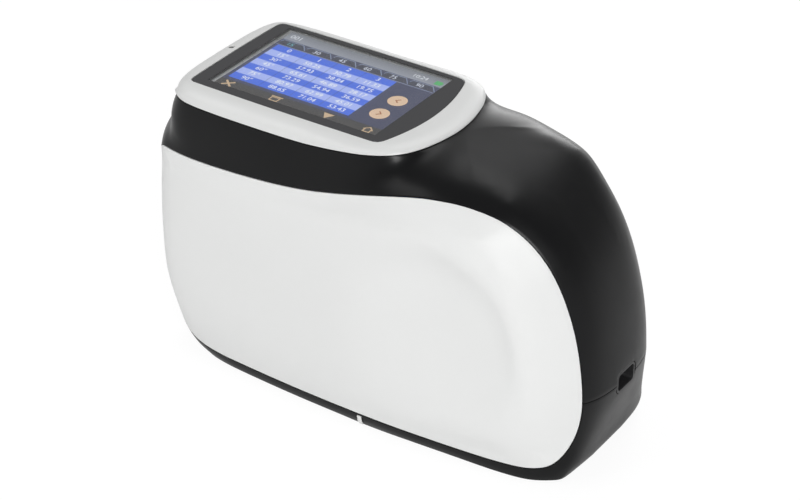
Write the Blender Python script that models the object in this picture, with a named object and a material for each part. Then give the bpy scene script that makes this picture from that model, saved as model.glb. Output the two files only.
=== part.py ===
"""Portable multi-angle spectrophotometer, built as separate pieces at its real size.

Metres. +Z is up, +X points to the rounded handle end with the data port, and -Y to the user.
The origin lies under the middle of the instrument, on the surface that it stands on.
"""

import math
from bisect import bisect_right
from collections import namedtuple

import bmesh
import bpy
from mathutils import Vector

MM = 0.001

# Overall size
BODY_LENGTH = 189.33 * MM
BODY_WIDTH = 84.4 * MM
BODY_HEIGHT = 115.8 * MM

# Size at which the stations below are written, in millimetres, and how far the real size is
# from it. What has to follow the case is multiplied by these shares.
DRAWN_LENGTH = 189.33
DRAWN_WIDTH = 84.4
DRAWN_HEIGHT = 115.8
DRAWN_MIDDLE = -2.037
LENGTH_SHARE = BODY_LENGTH / (DRAWN_LENGTH * MM)
WIDTH_SHARE = BODY_WIDTH / (DRAWN_WIDTH * MM)
HEIGHT_SHARE = BODY_HEIGHT / (DRAWN_HEIGHT * MM)
ARC_SHARE = min(LENGTH_SHARE, HEIGHT_SHARE)

# Case
WALL = 2.2 * MM
FLOOR = 3.0 * MM
UNDERSIDE = 0.8 * MM
PART_GAP = 0.3 * MM
FIT_GAP = 0.15 * MM
PARTING_HEIGHT = 33.4 * MM * HEIGHT_SHARE
BEZEL_HEIGHT = 6.0 * MM
RIM_HEIGHT = BODY_HEIGHT - BEZEL_HEIGHT - PART_GAP
RIM_LIFT = 3.8 * MM
RIM_LIFT_START = 5.0 * MM
RIM_LIFT_LENGTH = 45.0 * MM
ROWS_PER_STATION = 2
BELT_COLUMNS = 7
PANEL_COLUMNS = 6
PANEL_RINGS = 4
PANEL_CURVE = 0.6
PANEL_CENTRE_SHARE = 0.45
PANEL_FLAT_SHARE = 0.66
ROUND_SIDES = 12

# Thumb recess in the side panels
RECESS_X = 35.9 * MM * LENGTH_SHARE
RECESS_Z = 50.0 * MM * HEIGHT_SHARE
RECESS_HALF_LENGTH = 34.0 * MM * LENGTH_SHARE
RECESS_HALF_HEIGHT = 37.0 * MM * HEIGHT_SHARE
RECESS_RIM = 6.5 * MM
RECESS_DEPTH = 2.4 * MM
RECESS_FADE_LEFT = -2.1 * MM * LENGTH_SHARE
RECESS_FADE_LENGTH = 46.0 * MM * LENGTH_SHARE
RECESS_FADE_BOTTOM = 8.0 * MM * HEIGHT_SHARE
RECESS_FADE_HEIGHT = 40.0 * MM * HEIGHT_SHARE

# Screen
SCREEN_X = -33.26 * MM * LENGTH_SHARE
GLASS_THICKNESS = 1.1 * MM
GLASS_SUNK = 0.15 * MM
GLASS_HALF_WIDTH = 28.0 * MM * WIDTH_SHARE
GLASS_LEFT = 44.3 * MM * LENGTH_SHARE
GLASS_RIGHT = 40.2 * MM * LENGTH_SHARE
GLASS_BOW_SIDE = 0.5 * MM
GLASS_BOW_RIGHT = 5.6 * MM * LENGTH_SHARE
GLASS_CORNER = 3.0 * MM
GLASS_SIDE_STEPS = 6
GLASS_RIGHT_STEPS = 10
GLASS_CORNER_STEPS = 4
BEZEL_LEDGE = 0.8 * MM
LCD_LENGTH = 77.0 * MM * LENGTH_SHARE
LCD_WIDTH = 52.0 * MM * WIDTH_SHARE
DISPLAY_BOARD_THICKNESS = 1.0 * MM
BRACKET_THICKNESS = 1.2 * MM
INDICATOR_X = -47.8 * MM * LENGTH_SHARE
INDICATOR_Y = 1.4 * MM * WIDTH_SHARE
INDICATOR_RADIUS = 1.1 * MM
INDICATOR_SUNK = 0.7 * MM
DISPLAY_SCREW_LEFT = -46.6 * MM * LENGTH_SHARE
DISPLAY_SCREW_LEFT_Y = 18.0 * MM * WIDTH_SHARE
DISPLAY_SCREW_RIGHT = 6.0 * MM * LENGTH_SHARE
DISPLAY_SCREW_RIGHT_Y = 30.4 * MM * WIDTH_SHARE
DISPLAY_SCREW_RADIUS = 1.0 * MM
DISPLAY_SCREW_HEAD = 1.6 * MM
DISPLAY_SCREW_HEAD_HEIGHT = 1.2 * MM
DISPLAY_SCREW_GRIP = 2.4 * MM

# Measuring spot
APERTURE_X = 8.54 * MM * LENGTH_SHARE
APERTURE_RADIUS = 5.5 * MM
APERTURE_PLATE_LENGTH = 13.0 * MM
APERTURE_PLATE_WIDTH = 66.0 * MM * WIDTH_SHARE
APERTURE_PLATE_THICKNESS = 1.4 * MM
APERTURE_TUBE_RADIUS = 7.2 * MM
APERTURE_TUBE_HEIGHT = 6.2 * MM
WINDOW_DISC_RADIUS = 6.6 * MM
WINDOW_DISC_THICKNESS = 1.0 * MM
PAD_LENGTH = 15.0 * MM
PAD_RAMP = 3.0 * MM
MARK_X = 5.44 * MM * LENGTH_SHARE
MARK_WIDTH = 1.8 * MM
MARK_TOP = 0.12
MARK_BOTTOM = 0.85
MARK_LIFT = 0.05 * MM
MARK_THICKNESS = 0.3 * MM
MARK_STEPS = 4

# Optics, with angles in degrees from upright
OPTICS_INNER_RADIUS = 34.0 * MM * ARC_SHARE
OPTICS_OUTER_RADIUS = 54.0 * MM * ARC_SHARE
OPTICS_THICKNESS = 15.0 * MM
OPTICS_STEPS = 24
DETECTOR_ANGLES = (60.0, 30.0, 20.0, 0.0, -30.0, -65.0)
LAMP_ANGLE = -45.0
BARREL_RADIUS = 2.3 * MM
BARREL_BORE = 1.6 * MM
BARREL_START = 36.0 * MM * ARC_SHARE
BARREL_BEYOND = 3.5 * MM
LAMP_RADIUS = 4.0 * MM
LAMP_BORE = 3.0 * MM
LAMP_BEYOND = 2.0 * MM
LENS_SETBACK = 1.0 * MM
LENS_THICKNESS = 1.2 * MM
SENSOR_BOARD_THICKNESS = 1.2 * MM
SENSOR_BOARD_WIDTH = 14.0 * MM
SENSOR_BOARD_LEFT = -70.0
SENSOR_BOARD_RIGHT = 65.0
OPTICS_SCREW_LEFT = -34.0 * MM * LENGTH_SHARE
OPTICS_SCREW_RIGHT = 51.0 * MM * LENGTH_SHARE
OPTICS_SCREW_GRIP = 3.5 * MM

# Chassis and what holds it
CHASSIS_LEFT = -80.0 * MM * LENGTH_SHARE
CHASSIS_RIGHT = 74.0 * MM * LENGTH_SHARE
CHASSIS_WIDTH = 50.0 * MM
CHASSIS_THICKNESS = 2.0 * MM
POST_HEIGHT = 2.6 * MM
POST_RADIUS = 3.6 * MM
POST_LEFT = -60.0 * MM * LENGTH_SHARE
POST_RIGHT = 62.0 * MM * LENGTH_SHARE
POST_Y = 19.0 * MM
SCREW_RADIUS = 1.3 * MM
SCREW_HEAD_RADIUS = 2.6 * MM
SCREW_HEAD_HEIGHT = 1.5 * MM
FOOT_RADIUS = 4.5 * MM
FOOT_RECESS = 0.9 * MM
FOOT_LEFT = -48.0 * MM * LENGTH_SHARE
FOOT_RIGHT = 51.0 * MM * LENGTH_SHARE
FOOT_Y = 28.0 * MM * WIDTH_SHARE

# Boards and battery
BOARD_THICKNESS = 1.6 * MM
MAIN_BOARD_X = 2.0 * MM * LENGTH_SHARE
MAIN_BOARD_LENGTH = 104.0 * MM * LENGTH_SHARE
MAIN_BOARD_HEIGHT = 44.0 * MM * HEIGHT_SHARE
MAIN_BOARD_BOTTOM = 14.0 * MM * HEIGHT_SHARE
SPACER_RADIUS = 2.5 * MM
SPACER_LENGTH = 4.0 * MM
SPACER_ANGLES = (-40.0, 40.0)
SPACER_ORBIT = 44.0 * MM * ARC_SHARE
PROCESSOR_X = -12.0 * MM * LENGTH_SHARE
PROCESSOR_Z = 38.0 * MM * HEIGHT_SHARE
PROCESSOR_SIZE = 14.0 * MM
CHIP_THICKNESS = 1.4 * MM
BUZZER_X = 38.0 * MM * LENGTH_SHARE
BUZZER_Z = 26.0 * MM * HEIGHT_SHARE
BUZZER_RADIUS = 4.5 * MM
BUZZER_THICKNESS = 3.0 * MM
BATTERY_X = 24.0 * MM * LENGTH_SHARE
BATTERY_BOTTOM = 65.8 * MM * HEIGHT_SHARE
BATTERY_LENGTH = 62.0 * MM * LENGTH_SHARE
BATTERY_WIDTH = 37.0 * MM
BATTERY_HEIGHT = 18.6 * MM * HEIGHT_SHARE
TRAY_THICKNESS = 1.5 * MM
TRAY_LIP = 4.5 * MM
TRAY_LEG_XS = (-1.0 * MM * LENGTH_SHARE, 28.0 * MM * LENGTH_SHARE)
TRAY_LEG_LENGTH = 4.0 * MM
TRAY_LEG_WIDTH = 3.0 * MM
STRAP_WIDTH = 12.0 * MM
STRAP_THICKNESS = 0.6 * MM
RIBBON_X = -31.0 * MM * LENGTH_SHARE
RIBBON_WIDTH = 16.0 * MM
RIBBON_THICKNESS = 0.4 * MM
RIBBON_BOTTOM = 50.0 * MM * HEIGHT_SHARE
RIBBON_LAP = 8.0 * MM
RIBBON_BEND = 1.5 * MM
RIBBON_BEND_STEPS = 5
RIBBON_SLOT_MARGIN = 2.0 * MM

# Data port
PORT_WIDTH = 10.8 * MM
PORT_HEIGHT = 6.8 * MM
PORT_DEPTH = 5.6 * MM
PORT_SUNK = 0.4 * MM
PORT_FRAME_WALL = 0.9 * MM
PORT_CORNER = 1.4 * MM
PORT_CORNER_STEPS = 4
PORT_FRAME_BACK = 1.0 * MM
SOCKET_WIDTH = 9.2 * MM
SOCKET_HEIGHT = 4.6 * MM
SOCKET_LENGTH = 9.0 * MM
SOCKET_SUNK = 4.4 * MM
SOCKET_WALL = 0.5 * MM
SOCKET_BACK = 1.5 * MM
TONGUE_WIDTH = 5.6 * MM
TONGUE_HEIGHT = 1.2 * MM
TONGUE_SUNK = 1.2 * MM
USB_BOARD_LENGTH = 16.0 * MM * LENGTH_SHARE
USB_BOARD_WIDTH = 18.0 * MM
USB_SHELF_LENGTH = 13.5 * MM * LENGTH_SHARE
BRACKET_PLATE = 1.5 * MM
BRACKET_WIDTH = 16.0 * MM
BRACKET_FOOT = 8.0 * MM * LENGTH_SHARE

# Buttons
MEASURE_X = 46.0 * MM * LENGTH_SHARE
MEASURE_Z = 64.0 * MM * HEIGHT_SHARE
MEASURE_LENGTH = 20.0 * MM
MEASURE_HEIGHT = 10.0 * MM
MEASURE_PROUD = 1.6 * MM
MEASURE_TRAVEL = 0.7 * MM
MEASURE_FLANGE = 1.2 * MM
MEASURE_EDGE = 0.5 * MM
MEASURE_ARC_STEPS = 8
POWER_Z = 60.0 * MM * HEIGHT_SHARE
POWER_RADIUS = 4.5 * MM
POWER_SUNK = 0.3 * MM
POWER_TRAVEL = 0.6 * MM
POWER_FLANGE = 1.0 * MM
POWER_EDGE = 0.4 * MM
POWER_STEM = 3.0 * MM
BUTTON_GAP = 0.35 * MM
FLANGE_THICKNESS = 1.0 * MM
STEM_RADIUS = 2.0 * MM
SWITCH_SIZE = 6.0 * MM
SWITCH_BODY = 2.6 * MM
PLUNGER_RADIUS = 1.6 * MM
PLUNGER_HEIGHT = 1.0 * MM
SWITCH_GAP = 0.1 * MM
SWITCH_BOARD_LENGTH = 16.0 * MM
SWITCH_BOARD_BOTTOM = 58.0 * MM * HEIGHT_SHARE
SWITCH_BOARD_TOP = 70.0 * MM * HEIGHT_SHARE
POWER_BOARD_WIDTH = 14.0 * MM
POWER_BOARD_HEIGHT = 16.0 * MM

# A station is one line of the skin. x, y, z is its point on the side panel's edge, lean the
# slope there in degrees from the side view's plane, reach the handle that it leaves with.
# A crossing runs on to the centre line at cx, cz. A rim line ends on the screen pod's rim.
Crossing = namedtuple("Crossing", "x y z lean reach cx cz spread")
RimLine = namedtuple("RimLine", "x y z lean reach rim px py pz")

LEFT_END = (
    Crossing(-96.05, 26.0, 33.4, 84, 8, -96.25, 33.4, 0.5),
    Crossing(-96.15, 26.4, 50.0, 84, 8, -96.25, 51.0, 0.5),
    Crossing(-95.6, 26.8, 67.0, 80, 8, -95.9, 69.0, 0.5),
    Crossing(-94.8, 28.6, 80.0, 62, 9, -95.0, 87.0, 0.5),
    Crossing(-93.0, 31.2, 85.0, 46, 10, -93.2, 99.5, 0.5),
)
POD = (
    RimLine(-90.1, 33.7, 87.9, 30, 10, 0.000, -3.4, -9.0, -7.0),
    RimLine(-85.6, 35.5, 88.6, 18, 9, 0.119, -3.6, -4.4, -9.0),
    RimLine(-79.0, 37.0, 88.9, 12, 7, 0.224, -2.8, -2.8, -8.0),
    RimLine(-70.0, 37.9, 89.2, 11, 6, 0.291, -0.8, -1.2, -6.0),
    RimLine(-55.0, 38.4, 89.9, 11, 6, 0.401, -0.1, -1.2, -6.0),
    RimLine(-36.0, 38.6, 91.4, 11, 6, 0.534, 0.0, -1.2, -6.0),
    RimLine(-20.0, 38.3, 93.4, 11, 6, 0.639, 0.1, -1.1, -6.0),
    RimLine(-3.0, 37.7, 97.0, 12, 5, 0.727, 0.5, -1.1, -6.0),
    RimLine(15.6, 36.0, 101.5, 24, 5, 0.806, 1.2, -1.2, -4.6),
    RimLine(27.0, 34.5, 103.9, 30, 7, 0.873, 2.0, -1.2, -2.8),
    RimLine(35.0, 33.0, 104.5, 38, 10, 0.930, 3.4, -2.0, -1.2),
    RimLine(42.0, 31.3, 104.3, 43, 11, 1.000, 5.0, -6.5, -0.3),
)
HANDLE = (
    Crossing(50.0, 29.8, 103.3, 47, 10, 30.0, 112.5, 0.5),
    Crossing(58.0, 28.2, 101.0, 47, 10, 46.0, 109.6, 0.5),
    Crossing(66.4, 25.5, 94.6, 48, 9, 61.6, 103.2, 0.5),
    Crossing(73.9, 24.1, 85.9, 49, 8, 74.4, 93.7, 0.5),
    Crossing(79.6, 23.4, 75.1, 50, 7, 83.4, 81.2, 0.5),
    Crossing(83.8, 22.9, 62.6, 50, 6, 88.8, 64.4, 0.5),
    Crossing(86.6, 22.8, 49.1, 50, 5, 91.4, 49.2, 0.5),
    Crossing(87.9, 22.6, 33.4, 50, 5, 92.84, 33.4, 0.48),
    Crossing(86.9, 23.3, 22.3, 49, 5, 90.6, 21.4, 0.5),
    Crossing(84.3, 26.8, 13.2, 38, 6.5, 87.4, 8.8, 0.58),
    Crossing(79.5, 32.0, 7.5, 11, 8, 84.6, -2.6, 0.9),
    Crossing(68.0, 35.9, 5.9, 0, 7, 73.0, -6.0, 1.0),
    Crossing(45.0, 38.5, 5.7, 1, 6, 45.0, -6.0, 0.95),
    Crossing(22.0, 40.2, 5.7, 2, 6, 20.0, -6.0, 0.95),
    Crossing(9.0, 40.7, 5.7, 2, 6, 8.0, -6.0, 0.95),
    Crossing(-4.0, 40.8, 5.6, 2, 6, -4.0, -6.0, 0.95),
    Crossing(-28.0, 40.4, 5.4, 2, 6, -28.0, -6.0, 0.95),
    Crossing(-52.0, 39.2, 5.2, 2, 6, -52.0, -6.0, 0.95),
    Crossing(-67.0, 38.2, 5.3, 4, 6, -69.0, -5.0, 0.9),
    Crossing(-79.8, 36.0, 7.0, 18, 7, -83.0, -2.0, 0.75),
    Crossing(-88.9, 31.6, 12.4, 46, 8, -92.2, 7.0, 0.6),
    Crossing(-93.8, 27.4, 21.8, 72, 8, -95.4, 20.0, 0.55),
)
STATIONS = LEFT_END + POD + HANDLE

# Half of the pod's rim, seen from above, in millimetres from the screen's centre
RIM = (
    (-53.3, 0.0), (-53.1, 12.5), (-52.2, 25.0), (-48.6, 32.0), (-37.5, 34.6), (-15.0, 35.2),
    (8.0, 34.8), (24.6, 34.7), (36.8, 34.0), (45.5, 30.9), (50.9, 25.5), (55.1, 15.2),
    (57.4, 0.0),
)

# The bezel's rounded edge, as how far in each loop lies and its share of the bezel's height
BEZEL_EDGE = (
    (0.0, 0.0), (0.1 * MM, 0.18), (0.42 * MM, 0.38), (1.05 * MM, 0.58), (2.05 * MM, 0.76),
    (3.4 * MM, 0.9), (4.8 * MM, 0.975), (6.0 * MM, 1.0),
)


def clear_scene():
    """Remove whatever the file opened with."""
    for obj in list(bpy.data.objects):
        bpy.data.objects.remove(obj, do_unlink=True)


# Finishes

def finish(name, colour, roughness, metallic=0.0):
    """Make one Principled material."""
    material = bpy.data.materials.new(name)
    material.use_nodes = True
    shader = material.node_tree.nodes["Principled BSDF"]
    shader.inputs["Base Color"].default_value = (*colour, 1.0)
    shader.inputs["Roughness"].default_value = roughness
    shader.inputs["Metallic"].default_value = metallic
    return material


# Curves and points

def cubic(a, slope_a, b, slope_b, span, f):
    """Hermite curve from a to b over a span, read at the fraction f."""
    f2, f3 = f * f, f * f * f
    start = a * (2 * f3 - 3 * f2 + 1) + slope_a * (span * (f3 - 2 * f2 + f))
    return start + b * (3 * f2 - 2 * f3) + slope_b * (span * (f3 - f2))


def smooth_through(knots, values, u):
    """Read a smooth curve that passes through the values at the knots."""
    last = len(knots) - 1
    i = min(max(bisect_right(knots, u) - 1, 0), last - 1)
    before, after = max(i - 1, 0), min(i + 2, last)
    slope_a = (values[i + 1] - values[before]) / (knots[i + 1] - knots[before])
    slope_b = (values[after] - values[i]) / (knots[after] - knots[i])
    span = knots[i + 1] - knots[i]
    return cubic(values[i], slope_a, values[i + 1], slope_b, span, (u - knots[i]) / span)


def bezier(p0, p1, p2, p3, t):
    """Cubic Bezier curve read at t."""
    s = 1.0 - t
    return p0 * s ** 3 + p1 * (3 * s * s * t) + p2 * (3 * s * t * t) + p3 * t ** 3


def ease(f):
    """Smooth step from 0 to 1."""
    f = min(max(f, 0.0), 1.0)
    return f * f * (3 - 2 * f)


def drawn(x, y, z):
    """Turn a station's millimetres into a point on the user's side of the body."""
    return Vector((
        (x - DRAWN_MIDDLE) * BODY_LENGTH / DRAWN_LENGTH,
        -y * BODY_WIDTH / DRAWN_WIDTH,
        z * BODY_HEIGHT / DRAWN_HEIGHT,
    ))


RIM_KNOTS = [0.0]
for (x_a, y_a), (x_b, y_b) in zip(RIM, RIM[1:]):
    RIM_KNOTS.append(RIM_KNOTS[-1] + math.hypot(x_b - x_a, y_b - y_a))
RIM_LENGTH = RIM_KNOTS[-1]
RIM_LOOP_KNOTS = [-RIM_KNOTS[1]] + RIM_KNOTS + [2 * RIM_LENGTH - RIM_KNOTS[-2]]
RIM_LOOP = [Vector((RIM[1][0], RIM[1][1], 0.0))]
RIM_LOOP += [Vector((x, -y, 0.0)) for x, y in RIM]
RIM_LOOP += [Vector((RIM[-2][0], RIM[-2][1], 0.0))]


def rim_point(share):
    """Point of the pod's rim on the user's side, from its left (0) to its right end (1)."""
    point = smooth_through(RIM_LOOP_KNOTS, RIM_LOOP, share * RIM_LENGTH) * MM
    lift = RIM_LIFT * ease((point.x - RIM_LIFT_START) / RIM_LIFT_LENGTH)
    return Vector((SCREEN_X + point.x * LENGTH_SHARE, point.y * WIDTH_SHARE, RIM_HEIGHT + lift))


def rim_outward(share):
    """Direction square to the rim, away from the screen."""
    if share in (0.0, 1.0):
        return Vector((-1.0 if share == 0.0 else 1.0, 0.0, 0.0))
    along = rim_point(share + 0.002) - rim_point(share - 0.002)
    return Vector((along.y, -along.x, 0.0)).normalized()


# The skin: side panels and the belt between them

EDGE = [drawn(s.x, s.y, s.z) for s in STATIONS]
KNOTS = [0.0]
for point_a, point_b in zip(EDGE, EDGE[1:] + EDGE[:1]):
    KNOTS.append(KNOTS[-1] + (point_b - point_a).length)
LOOP = KNOTS[-1]
KNOTS = KNOTS[:-1]
TIP_LEFT = KNOTS[len(LEFT_END)]
TIP_RIGHT = KNOTS[len(LEFT_END) + len(POD) - 1]
PARTING_RIGHT = KNOTS[len(LEFT_END) + len(POD) + 7]


def looped(values):
    """Repeat the first and last values past the ends of the closed curve."""
    knots = [k - LOOP for k in KNOTS[-3:]] + KNOTS + [k + LOOP for k in KNOTS[:3]]
    return knots, values[-3:] + values + values[:3]


EDGE_CURVE = looped(EDGE)
LEAN_CURVE = looped([math.radians(s.lean) for s in STATIONS])
REACH_CURVE = looped([s.reach * MM for s in STATIONS])


def pull_of(station):
    """Handle at the inner end of a station's line."""
    if isinstance(station, RimLine):
        return Vector((station.px, station.py, station.pz)) * MM
    return Vector((0.0, -station.spread * station.y * MM, 0.0))


PULL_CURVE = looped([pull_of(s) for s in STATIONS])
LEFT_COUNT = len(LEFT_END)
POD_COUNT = len(POD)
BEHIND = HANDLE + LEFT_END
BEHIND_KNOTS = KNOTS[LEFT_COUNT + POD_COUNT:] + [k + LOOP for k in KNOTS[:LEFT_COUNT]]
CENTRE_KNOTS = [TIP_RIGHT] + BEHIND_KNOTS + [TIP_LEFT + LOOP]
CENTRE = [rim_point(1.0)] + [drawn(s.cx, 0.0, s.cz) for s in BEHIND] + [rim_point(0.0)]
RIM_SHARES = [s.rim for s in POD]
RIM_SHARE_KNOTS = KNOTS[LEFT_COUNT:LEFT_COUNT + POD_COUNT]


def wrap(u):
    """Bring u into the loop's first turn."""
    return u % LOOP


def on_rim(u):
    """Whether the skin's line at u ends on the pod's rim."""
    return TIP_LEFT - 1e-9 <= wrap(u) <= TIP_RIGHT + 1e-9


def rim_share(u):
    """Where along the half rim the line at u ends."""
    share = smooth_through(RIM_SHARE_KNOTS, RIM_SHARES, wrap(u))
    return min(max(share, 0.0), 1.0)


def inner_end(u):
    """End of the skin's line at u, on the rim or on the centre line."""
    if on_rim(u):
        return rim_point(rim_share(u))
    behind = wrap(u) if wrap(u) > TIP_RIGHT else wrap(u) + LOOP
    return smooth_through(CENTRE_KNOTS, CENTRE, behind)


def edge_frame(u):
    """Point on the panel's edge, direction along it, and direction out over the belt."""
    u = wrap(u)
    step = 0.5 * MM
    point = smooth_through(*EDGE_CURVE, u)
    along = smooth_through(*EDGE_CURVE, u + step) - smooth_through(*EDGE_CURVE, u - step)
    out = Vector((-along.z, 0.0, along.x)).normalized()
    lean = smooth_through(*LEAN_CURVE, u)
    return point, along.normalized(), out * math.cos(lean) + Vector((0.0, math.sin(lean), 0.0))


def belt_point(u, t):
    """Skin between the panel's edge (t = 0) and the rim or the centre line (t = 1)."""
    point, _, over = edge_frame(u)
    start = point + over * (PART_GAP / 2)
    end = inner_end(u)
    reach = smooth_through(*REACH_CURVE, wrap(u))
    return bezier(start, start + over * reach, end + smooth_through(*PULL_CURVE, wrap(u)), end, t)


def half_width(x):
    """Half width of the flat middle of the side panels."""
    return BODY_WIDTH / 2 - PANEL_CURVE * x * x


def recess(x, z):
    """Depth of the thumb recess at a place on the panel."""
    across = math.hypot((x - RECESS_X) / RECESS_HALF_LENGTH, (z - RECESS_Z) / RECESS_HALF_HEIGHT)
    rim = RECESS_RIM / RECESS_HALF_LENGTH
    fade = ease((x - RECESS_FADE_LEFT) / RECESS_FADE_LENGTH)
    fade *= ease((z - RECESS_FADE_BOTTOM) / RECESS_FADE_HEIGHT)
    return RECESS_DEPTH * fade * ease((1.0 + rim / 2 - across) / rim)


def panel_point(u, t):
    """Skin of the side panel, from its edge (t = 0) over its rounding (t = 1) to its middle."""
    point, _, over = edge_frame(u)
    start = point - over * (PART_GAP / 2)
    share = PANEL_FLAT_SHARE * max(0.0, 2.0 - t) if t > 1.0 else PANEL_FLAT_SHARE
    centre_z = PANEL_CENTRE_SHARE * BODY_HEIGHT
    x = point.x * share
    z = centre_z + (point.z - centre_z) * share
    end = Vector((x, -half_width(x), z))
    if t <= 1.0:
        drop = abs(end.y) - abs(start.y)
        toward = Vector((point.x - x, 0.0, point.z - z)) * 0.65
        handle = Vector((x + toward.x, -half_width(x + toward.x), z + toward.z))
        first = start - over * (3.0 * MM + 0.7 * drop)
        end = bezier(start, first, handle, end, t)
    end.y += recess(end.x, end.z)
    return end


def skin_normal(surface, u, t):
    """Direction straight out of the skin."""
    if t == 0.0:
        _, along, over = edge_frame(u)
        return along.cross(over).normalized()
    if surface is belt_point and t == 1.0 and on_rim(u):
        return rim_outward(rim_share(u))
    du, dt = 0.4 * MM, 0.004
    across = surface(u, min(t + dt, 1.0 if surface is belt_point else 2.0)) - surface(u, t - dt)
    along = surface(u + du, t) - surface(u - du, t)
    normal = along.cross(across).normalized()
    if surface is panel_point:
        return -normal
    if t == 1.0:
        normal.y = 0.0
        normal.normalize()
    return normal


def underside(x):
    """Height of the case's bottom, which is lower at the pad round the measuring spot."""
    off_pad = (abs(x - APERTURE_X) - PAD_LENGTH / 2) / PAD_RAMP
    return UNDERSIDE * ease(off_pad)


def belt_columns(u):
    """Places of the grid's columns, with one on the crisp lower edge where there is one."""
    low, high = 0.0, 0.36
    turn = high
    if belt_point(u, high).z < underside(belt_point(u, high).x):
        for _ in range(30):
            turn = (low + high) / 2
            point = belt_point(u, turn)
            if point.z < underside(point.x):
                high = turn
            else:
                low = turn
    first = [turn * k / 2 for k in range(2)]
    rest = BELT_COLUMNS - 2
    return first + [turn + (1.0 - turn) * k / rest for k in range(rest + 1)]


def station_rows(start, end):
    """Values of u from start to end, through every station between them."""
    knots = [k for k in KNOTS + [k + LOOP for k in KNOTS] if start + MM < k < end - MM]
    knots = [start] + knots + [end]
    rows = []
    for a, b in zip(knots, knots[1:]):
        rows += [a + (b - a) * k / ROWS_PER_STATION for k in range(ROWS_PER_STATION)]
    return rows + [end]


def quad(mesh, corners):
    """Add a face unless two of its corners are the same."""
    unique = list(dict.fromkeys(corners))
    if len(unique) > 2 and mesh.faces.get(unique) is None:
        mesh.faces.new(unique)


def finish_mesh(mesh, name, material):
    """Close a bmesh into a named object."""
    bmesh.ops.remove_doubles(mesh, verts=mesh.verts, dist=0.002 * MM)
    bmesh.ops.recalc_face_normals(mesh, faces=mesh.faces)
    data = bpy.data.meshes.new(name)
    mesh.to_mesh(data)
    mesh.free()
    data.shade_smooth()
    data.set_sharp_from_angle(angle=math.radians(35.0))
    if material is not None:
        data.materials.append(material)
    obj = bpy.data.objects.new(name, data)
    bpy.context.scene.collection.objects.link(obj)
    return obj


def belt_shell(name, start, end, material):
    """Make the part of the belt from start to end as a shell, both sides in one."""
    mesh = bmesh.new()
    rows = station_rows(start, end)
    outer, inner = [], []
    for u in rows:
        columns = belt_columns(u) if not on_rim(u) else [k / BELT_COLUMNS for k in
                                                          range(BELT_COLUMNS + 1)]
        outside, inside = [], []
        for t in columns:
            point = belt_point(u, t)
            within = point - skin_normal(belt_point, u, t) * WALL
            point.z = max(point.z, underside(point.x))
            within.z = max(within.z, UNDERSIDE + FLOOR)
            if t == 1.0 and not on_rim(u):
                point.y = within.y = 0.0
            outside.append(mesh.verts.new(point))
            inside.append(mesh.verts.new(within))
        outer.append(outside)
        inner.append(inside)
    last = len(rows) - 1
    for i in range(last):
        for j in range(BELT_COLUMNS):
            quad(mesh, (outer[i][j], outer[i][j + 1], outer[i + 1][j + 1], outer[i + 1][j]))
            quad(mesh, (inner[i][j], inner[i + 1][j], inner[i + 1][j + 1], inner[i][j + 1]))
        quad(mesh, (outer[i][0], outer[i + 1][0], inner[i + 1][0], inner[i][0]))
        if on_rim(rows[i]) and on_rim(rows[i + 1]):
            quad(mesh, (outer[i][-1], inner[i][-1], inner[i + 1][-1], outer[i + 1][-1]))
    for j in range(BELT_COLUMNS):
        quad(mesh, (outer[0][j], inner[0][j], inner[0][j + 1], outer[0][j + 1]))
        quad(mesh, (outer[last][j], outer[last][j + 1], inner[last][j + 1], inner[last][j]))
    mirror_half(mesh)
    return finish_mesh(mesh, name, material)


def mirror_half(mesh):
    """Copy everything in the mesh to the far side of the centre plane."""
    copy = bmesh.ops.duplicate(mesh, geom=mesh.verts[:] + mesh.edges[:] + mesh.faces[:])
    moved = [e for e in copy["geom"] if isinstance(e, bmesh.types.BMVert)]
    bmesh.ops.scale(mesh, vec=(1.0, -1.0, 1.0), verts=moved)


def side_panel(name, material, far):
    """Make one white side cover."""
    mesh = bmesh.new()
    rows = station_rows(0.0, LOOP)[:-1]
    places = [k / PANEL_COLUMNS for k in range(PANEL_COLUMNS + 1)]
    places += [1.0 + k / PANEL_RINGS for k in range(1, PANEL_RINGS)]
    outer, inner = [], []
    for u in rows:
        outside, inside = [], []
        for t in places:
            point = panel_point(u, t)
            outside.append(mesh.verts.new(point))
            inside.append(mesh.verts.new(point - skin_normal(panel_point, u, t) * WALL))
        outer.append(outside)
        inner.append(inside)
    middle = panel_point(0.0, 2.0)
    outer_pole = mesh.verts.new(middle)
    inner_pole = mesh.verts.new(middle + Vector((0.0, WALL, 0.0)))
    for i, _ in enumerate(rows):
        k = (i + 1) % len(rows)
        for j in range(len(places) - 1):
            quad(mesh, (outer[i][j], outer[k][j], outer[k][j + 1], outer[i][j + 1]))
            quad(mesh, (inner[i][j], inner[i][j + 1], inner[k][j + 1], inner[k][j]))
        quad(mesh, (outer[i][-1], outer[k][-1], outer_pole))
        quad(mesh, (inner[k][-1], inner[i][-1], inner_pole))
        quad(mesh, (outer[i][0], inner[i][0], inner[k][0], outer[k][0]))
    if far:
        bmesh.ops.scale(mesh, vec=(1.0, -1.0, 1.0), verts=mesh.verts)
    return finish_mesh(mesh, name, material)


# Solids for everything inside the case

def about(middle, length):
    """Both ends of a length round its middle."""
    return middle - length / 2, middle + length / 2


def stack(mesh, loops, ring=False):
    """Close a row of equal loops into a solid, or into a ring without ends."""
    rows = [[mesh.verts.new(point) for point in loop] for loop in loops]
    pairs = list(zip(rows, rows[1:]))
    if ring:
        pairs.append((rows[-1], rows[0]))
    else:
        mesh.faces.new(rows[0])
        mesh.faces.new(rows[-1])
    count = len(rows[0])
    for a, b in pairs:
        for k in range(count):
            n = (k + 1) % count
            mesh.faces.new((a[k], a[n], b[n], b[k]))


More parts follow.
